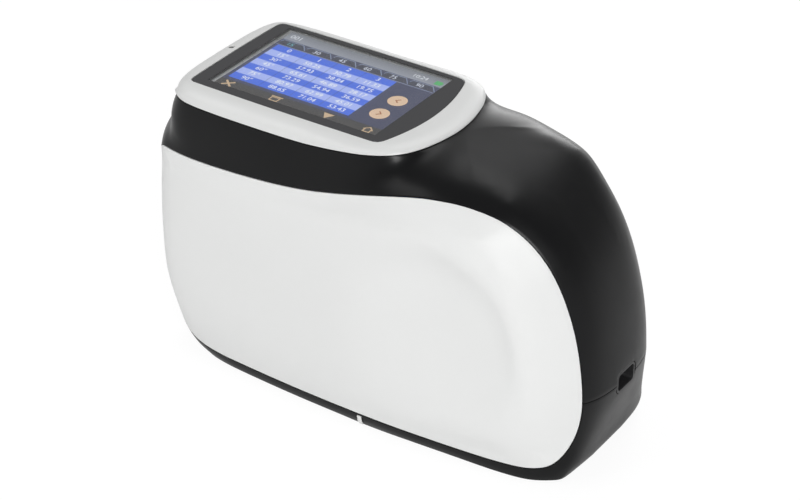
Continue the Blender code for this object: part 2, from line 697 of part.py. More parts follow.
def block(mesh, x, y, z):
    """Add a box that fills the given ranges."""
    stack(mesh, [[Vector((x[0], y[0], h)), Vector((x[1], y[0], h)),
                  Vector((x[1], y[1], h)), Vector((x[0], y[1], h))] for h in z])


def prism(mesh, outline, z):
    """Add an upright solid over an outline."""
    stack(mesh, [[Vector((x, y, h)) for x, y in outline] for h in z])


def circle(centre, axis, radius):
    """Points of a circle round an axis."""
    turn = axis.to_track_quat("Z", "Y")
    angles = [math.tau * k / ROUND_SIDES for k in range(ROUND_SIDES)]
    return [centre + turn @ Vector((radius * math.cos(a), radius * math.sin(a), 0.0))
            for a in angles]


def turned(mesh, base, axis, profile, ring=False):
    """Add a turned solid; the profile lists distances along the axis and radii."""
    stack(mesh, [circle(base + axis * along, axis, radius) for along, radius in profile], ring)


def rounded_bar(mesh, x, width, height, middle, corner):
    """Add a bar along x with rounded long edges, for the port's frame and its openings."""
    outline = []
    for k in range(4 * (PORT_CORNER_STEPS + 1)):
        quarter, step = divmod(k, PORT_CORNER_STEPS + 1)
        angle = math.pi / 2 * (quarter + step / PORT_CORNER_STEPS)
        side_y = 1 if quarter in (0, 3) else -1
        side_z = 1 if quarter in (0, 1) else -1
        outline.append((side_y * (width / 2 - corner) + corner * math.cos(angle),
                        middle + side_z * (height / 2 - corner) + corner * math.sin(angle)))
    stack(mesh, [[Vector((end, y, z)) for y, z in outline] for end in x])


def tube(mesh, base, axis, length, outer, inner):
    """Add a straight tube."""
    turned(mesh, base, axis, ((0, outer), (length, outer), (length, inner), (0, inner)), True)


def strip(mesh, pairs, side):
    """Add a bent strip; each pair is a point on its two faces, side leads to the other edge."""
    stack(mesh, [[p, p + side, q + side, q] for p, q in pairs])


def helper(mesh, name):
    """Keep a mesh as a hidden shape that cuts or joins another piece."""
    obj = finish_mesh(mesh, name, None)
    obj.hide_render = True
    obj.display_type = "WIRE"
    return obj


def combine(obj, shape, operation):
    """Cut a helper out of a piece, or join it on."""
    modifier = obj.modifiers.new(shape.name, "BOOLEAN")
    modifier.operation = operation
    modifier.solver = "EXACT"
    modifier.object = shape


def move_origin(obj, origin):
    """Put a moving piece's origin on its axis."""
    for vertex in obj.data.vertices:
        vertex.co -= origin
    obj.location = origin


X = Vector((1.0, 0.0, 0.0))
Y = Vector((0.0, 1.0, 0.0))
Z = Vector((0.0, 0.0, 1.0))

# Heights and places that follow from the sizes above
INNER_FLOOR = UNDERSIDE + FLOOR
CHASSIS_BOTTOM = INNER_FLOOR + PART_GAP + POST_HEIGHT
CHASSIS_TOP = CHASSIS_BOTTOM + CHASSIS_THICKNESS
ON_CHASSIS = CHASSIS_TOP + PART_GAP
GLASS_BOTTOM = BODY_HEIGHT - GLASS_SUNK - GLASS_THICKNESS
LEDGE_HEIGHT = GLASS_BOTTOM - PART_GAP
BRACKET_TOP = RIM_HEIGHT
DISPLAY_BOARD_BOTTOM = BRACKET_TOP + PART_GAP
LCD_BOTTOM = DISPLAY_BOARD_BOTTOM + DISPLAY_BOARD_THICKNESS + PART_GAP
PORT_FRONT = drawn(HANDLE[7].cx, 0.0, 0.0).x - PORT_SUNK
PORT_BACK = PORT_FRONT - PORT_DEPTH
SOCKET_FRONT = PORT_FRONT - SOCKET_SUNK
TRAY_INSIDE = BATTERY_WIDTH / 2 + PART_GAP
TRAY_OUTSIDE = TRAY_INSIDE + TRAY_THICKNESS
SWITCH_BOARD_FACE = TRAY_OUTSIDE + PART_GAP
LEFT_FACE = drawn(LEFT_END[1].cx, 0.0, 0.0).x
BOARD_FACE = OPTICS_THICKNESS / 2 + SPACER_LENGTH + 2 * PART_GAP
BOARD_OUTSIDE = BOARD_FACE + BOARD_THICKNESS
ON_BOARD = BOARD_OUTSIDE + PART_GAP
RIM_ROWS = [rim_share(u) for u in station_rows(TIP_LEFT, TIP_RIGHT)]


def corners(xs, y):
    """Four places, left and right of the middle plane."""
    return [(x, side * y) for x in xs for side in (-1, 1)]


def spot_direction(angle):
    """Direction from the measuring spot, at an angle in degrees from upright."""
    return X * math.sin(math.radians(angle)) + Z * math.cos(math.radians(angle))


def from_spot(angle, distance):
    """Point at an angle and a distance from the measuring spot."""
    return X * APERTURE_X + spot_direction(angle) * distance


# Screen

def around(place):
    """Loop through place(share) on the near half of the rim and its mirror image."""
    near = [place(share) for share in RIM_ROWS]
    return near + [Vector((p.x, -p.y, p.z)) for p in reversed(near[1:-1])]


def bezel_loop(inset, rise):
    """Loop round the bezel's rounded edge."""
    def place(share):
        point = rim_point(share) + Z * PART_GAP
        return point - rim_outward(share) * inset + Z * (rise * (BODY_HEIGHT - point.z))
    return around(place)


def glass_outline(grow):
    """Outline of the cover glass, moved out by grow, seen from above."""
    left, right = SCREEN_X - GLASS_LEFT - grow, SCREEN_X + GLASS_RIGHT + grow
    half = GLASS_HALF_WIDTH + grow
    ends = [Vector(p) for p in ((left, -half), (right, -half), (right, half), (left, half))]
    bows = [Vector(p) for p in ((0, -GLASS_BOW_SIDE), (GLASS_BOW_RIGHT, 0), (0, GLASS_BOW_SIDE),
                                (-GLASS_BOW_SIDE, 0))]
    steps = (GLASS_SIDE_STEPS, GLASS_RIGHT_STEPS, GLASS_SIDE_STEPS, GLASS_SIDE_STEPS)
    edges = []
    for k, bow in enumerate(bows):
        a, b = ends[k], ends[(k + 1) % 4]
        clip = GLASS_CORNER / (b - a).length
        shares = [clip + (1 - 2 * clip) * i / steps[k] for i in range(steps[k] + 1)]
        edges.append([a + (b - a) * f + bow * (4 * f * (1 - f)) for f in shares])
    outline = []
    for k, edge in enumerate(edges):
        outline += edge
        corner, after = ends[(k + 1) % 4], edges[(k + 1) % 4][0]
        for i in range(1, GLASS_CORNER_STEPS):
            f = i / GLASS_CORNER_STEPS
            outline.append(edge[-1] * (1 - f) ** 2 + corner * (2 * f * (1 - f)) + after * f * f)
    return outline


def display_screw_places():
    """Where the four display screws stand."""
    left = corners((SCREEN_X + DISPLAY_SCREW_LEFT,), DISPLAY_SCREW_LEFT_Y)
    return left + corners((SCREEN_X + DISPLAY_SCREW_RIGHT,), DISPLAY_SCREW_RIGHT_Y)


def screen_bezel(material):
    """Make the white frame round the screen."""
    mesh = bmesh.new()
    rows = [[mesh.verts.new(p) for p in bezel_loop(inset, rise)] for inset, rise in BEZEL_EDGE]
    count, half = len(rows[0]), len(RIM_ROWS)
    for a, b in zip(rows, rows[1:]):
        for k in range(count):
            n = (k + 1) % count
            quad(mesh, (a[k], a[n], b[n], b[k]))
    for row in (rows[0], rows[-1]):
        for k in range(half - 1):
            quad(mesh, (row[k], row[k + 1], row[-k - 1], row[-k]))
    bezel = finish_mesh(mesh, "screen_bezel", material)
    top = BODY_HEIGHT + MM
    for name, grow, bottom in (("glass_pocket", PART_GAP, LEDGE_HEIGHT),
                               ("display_opening", -BEZEL_LEDGE, RIM_HEIGHT - MM)):
        mesh = bmesh.new()
        prism(mesh, glass_outline(grow), (bottom, top))
        combine(bezel, helper(mesh, name), "DIFFERENCE")
    mesh = bmesh.new()
    for x, y in display_screw_places():
        depth = PART_GAP + DISPLAY_SCREW_GRIP + PART_GAP
        turned(mesh, Vector((x, y, RIM_HEIGHT)), Z,
               ((0, DISPLAY_SCREW_RADIUS + FIT_GAP), (depth, DISPLAY_SCREW_RADIUS + FIT_GAP)))
    place = Vector((SCREEN_X + INDICATOR_X, INDICATOR_Y, RIM_HEIGHT - MM))
    radius = INDICATOR_RADIUS + FIT_GAP
    turned(mesh, place, Z, ((0, radius), (top - place.z, radius)))
    combine(bezel, helper(mesh, "bezel_holes"), "DIFFERENCE")


def display_parts(glass, panel, board, steel, clear):
    """Make the cover glass and everything behind it."""
    mesh = bmesh.new()
    prism(mesh, glass_outline(0.0), (GLASS_BOTTOM, GLASS_BOTTOM + GLASS_THICKNESS))
    finish_mesh(mesh, "touch_glass", glass)
    x, y = about(SCREEN_X, LCD_LENGTH), about(0.0, LCD_WIDTH)
    mesh = bmesh.new()
    block(mesh, x, y, (LCD_BOTTOM, GLASS_BOTTOM - PART_GAP))
    finish_mesh(mesh, "lcd_module", panel)
    mesh = bmesh.new()
    block(mesh, x, y, (DISPLAY_BOARD_BOTTOM, LCD_BOTTOM - PART_GAP))
    finish_mesh(mesh, "display_board", board)

    mesh = bmesh.new()
    bracket_bottom = BRACKET_TOP - BRACKET_THICKNESS
    inset = WALL + PART_GAP
    outline = [p.xy for p in around(lambda share: rim_point(share) - rim_outward(share) * inset)]
    prism(mesh, outline, (bracket_bottom, BRACKET_TOP))
    bracket = finish_mesh(mesh, "display_bracket", steel)
    mesh = bmesh.new()
    for x, y in display_screw_places():
        radius = DISPLAY_SCREW_RADIUS + PART_GAP
        base = Vector((x, y, bracket_bottom - MM))
        turned(mesh, base, Z, ((0, radius), (BRACKET_THICKNESS + 2 * MM, radius)))
    low = ON_BOARD + RIBBON_THICKNESS - RIBBON_LAP - RIBBON_SLOT_MARGIN
    high = ON_BOARD + RIBBON_THICKNESS + RIBBON_SLOT_MARGIN
    block(mesh, about(RIBBON_X, RIBBON_WIDTH + 2 * RIBBON_SLOT_MARGIN), (low, high),
          (bracket_bottom - MM, BRACKET_TOP + MM))
    combine(bracket, helper(mesh, "bracket_holes"), "DIFFERENCE")

    grip = 2 * PART_GAP + BRACKET_THICKNESS + DISPLAY_SCREW_GRIP
    for k, (x, y) in enumerate(display_screw_places(), 1):
        base = Vector((x, y, bracket_bottom - PART_GAP - DISPLAY_SCREW_HEAD_HEIGHT))
        screw(f"display_screw_{k}", base, DISPLAY_SCREW_HEAD, DISPLAY_SCREW_HEAD_HEIGHT,
              DISPLAY_SCREW_RADIUS, grip, steel)

    mesh = bmesh.new()
    base = Vector((SCREEN_X + INDICATOR_X, INDICATOR_Y, DISPLAY_BOARD_BOTTOM))
    length = BODY_HEIGHT - INDICATOR_SUNK - DISPLAY_BOARD_BOTTOM
    turned(mesh, base, Z, ((0, INDICATOR_RADIUS), (length, INDICATOR_RADIUS)))
    finish_mesh(mesh, "indicator_light_pipe", clear)


def screw(name, base, head_radius, head_height, radius, length, material):
    """Make a screw that stands head down; length is its shank's."""
    mesh = bmesh.new()
    turned(mesh, base, Z, ((0, head_radius), (head_height, head_radius), (head_height, radius),
                           (head_height + length, radius)))
    finish_mesh(mesh, name, material)


def display_ribbon(material):
    """Make the flat cable from the display board down to the main board."""
    mesh = bmesh.new()
    inner, outer = ON_BOARD, ON_BOARD + RIBBON_THICKNESS
    top = BRACKET_TOP
    pairs = [((outer, RIBBON_BOTTOM), (inner, RIBBON_BOTTOM))]
    for k in range(RIBBON_BEND_STEPS + 1):
        angle = math.radians(90.0 * k / RIBBON_BEND_STEPS)
        y, z = inner - RIBBON_BEND, top - RIBBON_THICKNESS - RIBBON_BEND
        wide, tight = RIBBON_BEND + RIBBON_THICKNESS, RIBBON_BEND
        pairs.append(((y + wide * math.cos(angle), z + wide * math.sin(angle)),
                      (y + tight * math.cos(angle), z + tight * math.sin(angle))))
    pairs.append(((outer - RIBBON_LAP, top), (outer - RIBBON_LAP, top - RIBBON_THICKNESS)))
    left = RIBBON_X - RIBBON_WIDTH / 2
    strip(mesh, [(Vector((left, *p)), Vector((left, *q))) for p, q in pairs], X * RIBBON_WIDTH)
    finish_mesh(mesh, "display_ribbon", material)


# Underside

def base_details(base, rubber, steel):
    """Cut the underside's recesses and make the feet and the case screws."""
    feet = corners((FOOT_LEFT, FOOT_RIGHT), FOOT_Y)
    posts = corners((POST_LEFT, POST_RIGHT), POST_Y)
    head_bottom = UNDERSIDE + PART_GAP
    head_top = head_bottom + SCREW_HEAD_HEIGHT
    recess_top = UNDERSIDE + FOOT_RECESS
    mesh = bmesh.new()
    for x, y in feet:
        radius = FOOT_RADIUS + PART_GAP
        turned(mesh, Vector((x, y, -MM)), Z, ((0, radius), (MM + recess_top, radius)))
    for x, y in posts:
        wide, narrow = SCREW_HEAD_RADIUS + PART_GAP, SCREW_RADIUS + PART_GAP
        shoulder = MM + head_top + PART_GAP
        turned(mesh, Vector((x, y, -MM)), Z, ((0, wide), (shoulder, wide), (shoulder, narrow),
                                              (INNER_FLOOR + 2 * MM, narrow)))
    combine(base, helper(mesh, "underside_recesses"), "DIFFERENCE")
    mesh = bmesh.new()
    block(mesh, about(APERTURE_X, APERTURE_PLATE_LENGTH + 2 * PART_GAP),
          about(0.0, APERTURE_PLATE_WIDTH + 2 * PART_GAP),
          (-MM, APERTURE_PLATE_THICKNESS + PART_GAP))
    combine(base, helper(mesh, "aperture_pocket"), "DIFFERENCE")
    mesh = bmesh.new()
    radius = APERTURE_TUBE_RADIUS + PART_GAP
    turned(mesh, Vector((APERTURE_X, 0.0, -2 * MM)), Z,
           ((0, radius), (INNER_FLOOR + 4 * MM, radius)))
    combine(base, helper(mesh, "aperture_opening"), "DIFFERENCE")

    for k, (x, y) in enumerate(feet, 1):
        mesh = bmesh.new()
        turned(mesh, Vector((x, y, 0.0)), Z,
               ((0, FOOT_RADIUS), (recess_top - PART_GAP, FOOT_RADIUS)))
        finish_mesh(mesh, f"rubber_foot_{k}", rubber)
    for k, (x, y) in enumerate(posts, 1):
        screw(f"base_screw_{k}", Vector((x, y, head_bottom)), SCREW_HEAD_RADIUS,
              SCREW_HEAD_HEIGHT, SCREW_RADIUS, CHASSIS_TOP - head_top, steel)


def aperture_parts(metal, clear):
    """Make the measuring foot with its tube, and the clear disc on it."""
    mesh = bmesh.new()
    block(mesh, about(APERTURE_X, APERTURE_PLATE_LENGTH), about(0.0, APERTURE_PLATE_WIDTH),
          (0.0, APERTURE_PLATE_THICKNESS))
    plate = finish_mesh(mesh, "aperture_plate", metal)
    spot = X * APERTURE_X
    mesh = bmesh.new()
    turned(mesh, spot, Z, ((0, APERTURE_TUBE_RADIUS), (APERTURE_TUBE_HEIGHT, APERTURE_TUBE_RADIUS)))
    combine(plate, helper(mesh, "aperture_tube"), "UNION")
    mesh = bmesh.new()
    turned(mesh, spot - Z * MM, Z,
           ((0, APERTURE_RADIUS), (APERTURE_TUBE_HEIGHT + 2 * MM, APERTURE_RADIUS)))
    combine(plate, helper(mesh, "aperture_bore"), "DIFFERENCE")
    mesh = bmesh.new()
    turned(mesh, spot + Z * (APERTURE_TUBE_HEIGHT + PART_GAP), Z,
           ((0, WINDOW_DISC_RADIUS), (WINDOW_DISC_THICKNESS, WINDOW_DISC_RADIUS)))
    finish_mesh(mesh, "aperture_window", clear)


def bottom_line(x):
    """Value of u where the panel's lower edge passes over x."""
    low, high = KNOTS[STATIONS.index(HANDLE[11])], KNOTS[STATIONS.index(HANDLE[18])]
    for _ in range(40):
        middle = (low + high) / 2
        if edge_frame(middle)[0].x > x:
            low = middle
        else:
            high = middle
    return low


def position_mark(name, material, far):
    """Make one of the white marks that show the middle of the measuring spot."""
    mesh = bmesh.new()
    sides = [bottom_line(x) for x in about(MARK_X, MARK_WIDTH)]
    turn = belt_columns(sides[0])[2]
    loops = []
    for k in range(MARK_STEPS + 1):
        t = turn * (MARK_TOP + (MARK_BOTTOM - MARK_TOP) * k / MARK_STEPS)
        skin = [(belt_point(u, t), skin_normal(belt_point, u, t)) for u in sides]
        inner = [point + normal * MARK_LIFT for point, normal in skin]
        outer = [point + normal * (MARK_LIFT + MARK_THICKNESS) for point, normal in skin]
        loops.append([inner[0], inner[1], outer[1], outer[0]])
    stack(mesh, loops)
    if far:
        bmesh.ops.scale(mesh, vec=(1.0, -1.0, 1.0), verts=mesh.verts)
    finish_mesh(mesh, name, material)


# Chassis and optics

def optics_screw_places():
    """Where the two optics screws stand."""
    return [(x, 0.0) for x in (OPTICS_SCREW_LEFT, OPTICS_SCREW_RIGHT)]


def chassis_plate(material):
    """Make the plate that everything inside stands on."""
    mesh = bmesh.new()
    block(mesh, (CHASSIS_LEFT, CHASSIS_RIGHT), about(0.0, CHASSIS_WIDTH),
          (CHASSIS_BOTTOM, CHASSIS_TOP))
    chassis = finish_mesh(mesh, "chassis_plate", material)
    posts = corners((POST_LEFT, POST_RIGHT), POST_Y)
    mesh = bmesh.new()
    for x, y in posts:
        turned(mesh, Vector((x, y, INNER_FLOOR + PART_GAP)), Z,
               ((0, POST_RADIUS), (POST_HEIGHT + CHASSIS_THICKNESS / 2, POST_RADIUS)))
    combine(chassis, helper(mesh, "chassis_posts"), "UNION")
    mesh = bmesh.new()
    holes = [(x, y, SCREW_RADIUS + FIT_GAP) for x, y in posts]
    holes += [(x, y, SCREW_RADIUS + PART_GAP) for x, y in optics_screw_places()]
    holes.append((APERTURE_X, 0.0, WINDOW_DISC_RADIUS + PART_GAP))
    for x, y, radius in holes:
        turned(mesh, Vector((x, y, 0.0)), Z, ((0, radius), (CHASSIS_TOP + MM, radius)))
    combine(chassis, helper(mesh, "chassis_holes"), "DIFFERENCE")


def arc_strip(mesh, inner, outer, inner_ends, outer_ends, width):
    """Add a strip that runs round the measuring spot between two radii."""
    side = Y * width
    pairs = []
    for k in range(OPTICS_STEPS + 1):
        f = k / OPTICS_STEPS
        wide = from_spot(outer_ends[0] + (outer_ends[1] - outer_ends[0]) * f, outer)
        tight = from_spot(inner_ends[0] + (inner_ends[1] - inner_ends[0]) * f, inner)
        pairs.append((wide - side / 2, tight - side / 2))
    strip(mesh, pairs, side)


def optics_parts(alloy, dark, board, steel, clear):
    """Make the arc block over the measuring spot, its barrels, lenses, lamp and board."""
    mesh = bmesh.new()
    outer_end = math.degrees(math.acos(ON_CHASSIS / OPTICS_OUTER_RADIUS))
    inner_end_angle = math.degrees(math.acos(ON_CHASSIS / OPTICS_INNER_RADIUS))
    arc_strip(mesh, OPTICS_INNER_RADIUS, OPTICS_OUTER_RADIUS, (-inner_end_angle, inner_end_angle),
              (-outer_end, outer_end), OPTICS_THICKNESS)
    frame = finish_mesh(mesh, "optics_frame", alloy)
    mesh = bmesh.new()
    bores = [(angle, BARREL_RADIUS) for angle in DETECTOR_ANGLES] + [(LAMP_ANGLE, LAMP_RADIUS)]
    for angle, radius in bores:
        start = OPTICS_INNER_RADIUS - 3 * MM
        length = OPTICS_OUTER_RADIUS + 3 * MM - start
        turned(mesh, from_spot(angle, start), spot_direction(angle),
               ((0, radius + FIT_GAP), (length, radius + FIT_GAP)))
    screw_top = PART_GAP + OPTICS_SCREW_GRIP
    for x, y in optics_screw_places():
        turned(mesh, Vector((x, y, CHASSIS_TOP)), Z,
               ((0, SCREW_RADIUS + FIT_GAP), (screw_top + PART_GAP, SCREW_RADIUS + FIT_GAP)))
    combine(frame, helper(mesh, "optics_bores"), "DIFFERENCE")

    reach = OPTICS_OUTER_RADIUS + BARREL_BEYOND
    for k, angle in enumerate(DETECTOR_ANGLES, 1):
        mesh = bmesh.new()
        tube(mesh, from_spot(angle, BARREL_START), spot_direction(angle), reach - BARREL_START,
             BARREL_RADIUS, BARREL_BORE)
        finish_mesh(mesh, f"detector_barrel_{k}", dark)
    mesh = bmesh.new()
    axis = spot_direction(LAMP_ANGLE)
    length = OPTICS_OUTER_RADIUS + LAMP_BEYOND - BARREL_START
    tube(mesh, from_spot(LAMP_ANGLE, BARREL_START), axis, length, LAMP_RADIUS, LAMP_BORE)
    finish_mesh(mesh, "lamp_housing", dark)
    mesh = bmesh.new()
    turned(mesh, from_spot(LAMP_ANGLE, BARREL_START + LENS_SETBACK), axis,
           ((0, LAMP_BORE - FIT_GAP), (LENS_THICKNESS, LAMP_BORE - FIT_GAP)))
    finish_mesh(mesh, "lamp_lens", clear)

    mesh = bmesh.new()
    inner = reach + PART_GAP
    ends = (SENSOR_BOARD_LEFT, SENSOR_BOARD_RIGHT)
    arc_strip(mesh, inner, inner + SENSOR_BOARD_THICKNESS, ends, ends, SENSOR_BOARD_WIDTH)
    finish_mesh(mesh, "sensor_board", board)
    for k, (x, y) in enumerate(optics_screw_places(), 1):
        screw(f"optics_screw_{k}", Vector((x, y, CHASSIS_BOTTOM - PART_GAP - SCREW_HEAD_HEIGHT)),
              SCREW_HEAD_RADIUS, SCREW_HEAD_HEIGHT, SCREW_RADIUS,
              PART_GAP + CHASSIS_THICKNESS + screw_top, steel)


# Electronics

def board_parts(board, chip, brass):
    """Make the main board, its spacers and the parts on it."""
    mesh = bmesh.new()
    block(mesh, about(MAIN_BOARD_X, MAIN_BOARD_LENGTH), (BOARD_FACE, BOARD_OUTSIDE),
          (MAIN_BOARD_BOTTOM, MAIN_BOARD_BOTTOM + MAIN_BOARD_HEIGHT))
    finish_mesh(mesh, "main_board", board)
    for k, angle in enumerate(SPACER_ANGLES, 1):
        base = from_spot(angle, SPACER_ORBIT) + Y * (OPTICS_THICKNESS / 2 + PART_GAP)
        mesh = bmesh.new()
        turned(mesh, base, Y, ((0, SPACER_RADIUS), (SPACER_LENGTH, SPACER_RADIUS)))
        finish_mesh(mesh, f"board_spacer_{k}", brass)
    mesh = bmesh.new()
    block(mesh, about(PROCESSOR_X, PROCESSOR_SIZE), (ON_BOARD, ON_BOARD + CHIP_THICKNESS),
          about(PROCESSOR_Z, PROCESSOR_SIZE))
    finish_mesh(mesh, "processor_chip", chip)
    mesh = bmesh.new()
    turned(mesh, Vector((BUZZER_X, ON_BOARD, BUZZER_Z)), Y,
           ((0, BUZZER_RADIUS), (BUZZER_THICKNESS, BUZZER_RADIUS)))
    finish_mesh(mesh, "buzzer", chip)


def battery_parts(pack, plastic, band):
    """Make the battery, the tray on legs that carries it, and its strap."""
    mesh = bmesh.new()
    x = about(BATTERY_X, BATTERY_LENGTH)
    top = BATTERY_BOTTOM + BATTERY_HEIGHT
    block(mesh, x, about(0.0, BATTERY_WIDTH), (BATTERY_BOTTOM, top))
    finish_mesh(mesh, "battery_pack", pack)

    mesh = bmesh.new()
    inside, outside = TRAY_INSIDE, TRAY_OUTSIDE
    tray_top = BATTERY_BOTTOM - PART_GAP
    tray_bottom = tray_top - TRAY_THICKNESS
    lip = tray_top + TRAY_LIP
    pairs = (((-outside, lip), (-inside, lip)), ((-outside, tray_bottom), (-inside, tray_top)),
             ((outside, tray_bottom), (inside, tray_top)), ((outside, lip), (inside, lip)))
    strip(mesh, [(Vector((x[0], *p)), Vector((x[0], *q))) for p, q in pairs], X * BATTERY_LENGTH)
    tray = finish_mesh(mesh, "battery_tray", plastic)
    mesh = bmesh.new()
    for leg_x, y in corners(TRAY_LEG_XS, outside - TRAY_LEG_WIDTH / 2 - TRAY_THICKNESS / 2):
        block(mesh, about(leg_x, TRAY_LEG_LENGTH), about(y, TRAY_LEG_WIDTH),
              (ON_CHASSIS, tray_bottom + TRAY_THICKNESS / 2))
    combine(tray, helper(mesh, "tray_legs"), "UNION")

    mesh = bmesh.new()
    over = top + PART_GAP
    outer = inside + STRAP_THICKNESS
    end = lip + PART_GAP
    pairs = (((-outer, end), (-inside, end)), ((-outer, over + STRAP_THICKNESS), (-inside, over)),
             ((outer, over + STRAP_THICKNESS), (inside, over)), ((outer, end), (inside, end)))
    left = BATTERY_X - STRAP_WIDTH / 2
    strip(mesh, [(Vector((left, *p)), Vector((left, *q))) for p, q in pairs], X * STRAP_WIDTH)
    finish_mesh(mesh, "battery_strap", band)


def port_parts(shells, plastic, metal, board, steel):
    """Make the data port and open both shells for it."""
    middle = PARTING_HEIGHT
    wide = PORT_WIDTH + 2 * PORT_FRAME_WALL
    high = PORT_HEIGHT + 2 * PORT_FRAME_WALL
    mesh = bmesh.new()
    rounded_bar(mesh, (PORT_BACK - MM, PORT_FRONT + 4 * MM), wide + 2 * PART_GAP,
                high + 2 * PART_GAP, middle, PORT_CORNER + PORT_FRAME_WALL + PART_GAP)
    opening = helper(mesh, "port_opening")
    for shell in shells:
        combine(shell, opening, "DIFFERENCE")

    mesh = bmesh.new()
    rounded_bar(mesh, (PORT_BACK, PORT_FRONT), wide, high, middle, PORT_CORNER + PORT_FRAME_WALL)
    frame = finish_mesh(mesh, "usb_port_frame", plastic)
    mesh = bmesh.new()
    rounded_bar(mesh, (PORT_BACK + PORT_FRAME_BACK, PORT_FRONT + MM), PORT_WIDTH, PORT_HEIGHT,
                middle, PORT_CORNER)
    combine(frame, helper(mesh, "port_recess"), "DIFFERENCE")
    mesh = bmesh.new()
    block(mesh, (PORT_BACK - MM, PORT_FRONT), about(0.0, SOCKET_WIDTH + 2 * PART_GAP),
          about(middle, SOCKET_HEIGHT + 2 * PART_GAP))
    combine(frame, helper(mesh, "port_socket_hole"), "DIFFERENCE")

    back = SOCKET_FRONT - SOCKET_LENGTH
    mesh = bmesh.new()
    block(mesh, (back, SOCKET_FRONT), about(0.0, SOCKET_WIDTH), about(middle, SOCKET_HEIGHT))
    socket = finish_mesh(mesh, "usb_socket", metal)
    mesh = bmesh.new()
    block(mesh, (back + SOCKET_BACK, SOCKET_FRONT + MM),
          about(0.0, SOCKET_WIDTH - 2 * SOCKET_WALL), about(middle, SOCKET_HEIGHT - 2 * SOCKET_WALL))
    combine(socket, helper(mesh, "socket_hollow"), "DIFFERENCE")
    mesh = bmesh.new()
    block(mesh, (back + SOCKET_BACK + PART_GAP, SOCKET_FRONT - TONGUE_SUNK),
          about(0.0, TONGUE_WIDTH), about(middle, TONGUE_HEIGHT))
    finish_mesh(mesh, "usb_tongue", plastic)

    board_top = middle - SOCKET_HEIGHT / 2 - PART_GAP
    board_right = PORT_BACK - PART_GAP
    board_left = board_right - USB_BOARD_LENGTH
    mesh = bmesh.new()
    block(mesh, (board_left, board_right), about(0.0, USB_BOARD_WIDTH),
          (board_top - BOARD_THICKNESS, board_top))
    finish_mesh(mesh, "usb_board", board)

    shelf = board_top - BOARD_THICKNESS - PART_GAP
    foot = ON_CHASSIS
    pairs = (((board_left - BRACKET_FOOT, foot), (board_left - BRACKET_FOOT, foot + BRACKET_PLATE)),
             ((board_left + BRACKET_PLATE, foot), (board_left, foot + BRACKET_PLATE)),
             ((board_left + BRACKET_PLATE, shelf - BRACKET_PLATE), (board_left, shelf)),
             ((board_left + USB_SHELF_LENGTH, shelf - BRACKET_PLATE),
              (board_left + USB_SHELF_LENGTH, shelf)))
    angled_bracket("usb_bracket", pairs, steel)


def angled_bracket(name, pairs, material):
    """Make a bent sheet bracket from its profile, seen from the user's side."""
    mesh = bmesh.new()
    near = -BRACKET_WIDTH / 2
    strip(mesh, [(Vector((p[0], near, p[1])), Vector((q[0], near, q[1]))) for p, q in pairs],
          Y * BRACKET_WIDTH)
    finish_mesh(mesh, name, material)


# Buttons

def switch(name, base, axis, material):
    """Make a push switch that stands on base and points along the axis."""
    mesh = bmesh.new()
    turn = axis.to_track_quat("Z", "Y")
    half = SWITCH_SIZE / 2
    square = ((-half, -half), (half, -half), (half, half), (-half, half))
    stack(mesh, [[base + turn @ Vector((x, y, h)) for x, y in square] for h in (0.0, SWITCH_BODY)])
    body = finish_mesh(mesh, name, material)
    mesh = bmesh.new()
    turned(mesh, base, axis, ((SWITCH_BODY / 2, PLUNGER_RADIUS),
                              (SWITCH_BODY + PLUNGER_HEIGHT, PLUNGER_RADIUS)))
    combine(body, helper(mesh, name + "_plunger"), "UNION")


def obround(centre, along, grow):
    """Loop with rounded ends, upright, with its long way along the given direction."""
    radius = MEASURE_HEIGHT / 2 + grow
    shift = (MEASURE_LENGTH - MEASURE_HEIGHT) / 2
    points = []
    for side in (1, -1):
        for k in range(MEASURE_ARC_STEPS + 1):
            angle = side * math.pi * (k / MEASURE_ARC_STEPS - 0.5)
            x = side * (shift + radius * math.cos(angle))
            points.append(centre + along * x + Z * (side * radius * math.sin(side * angle)))
    return points


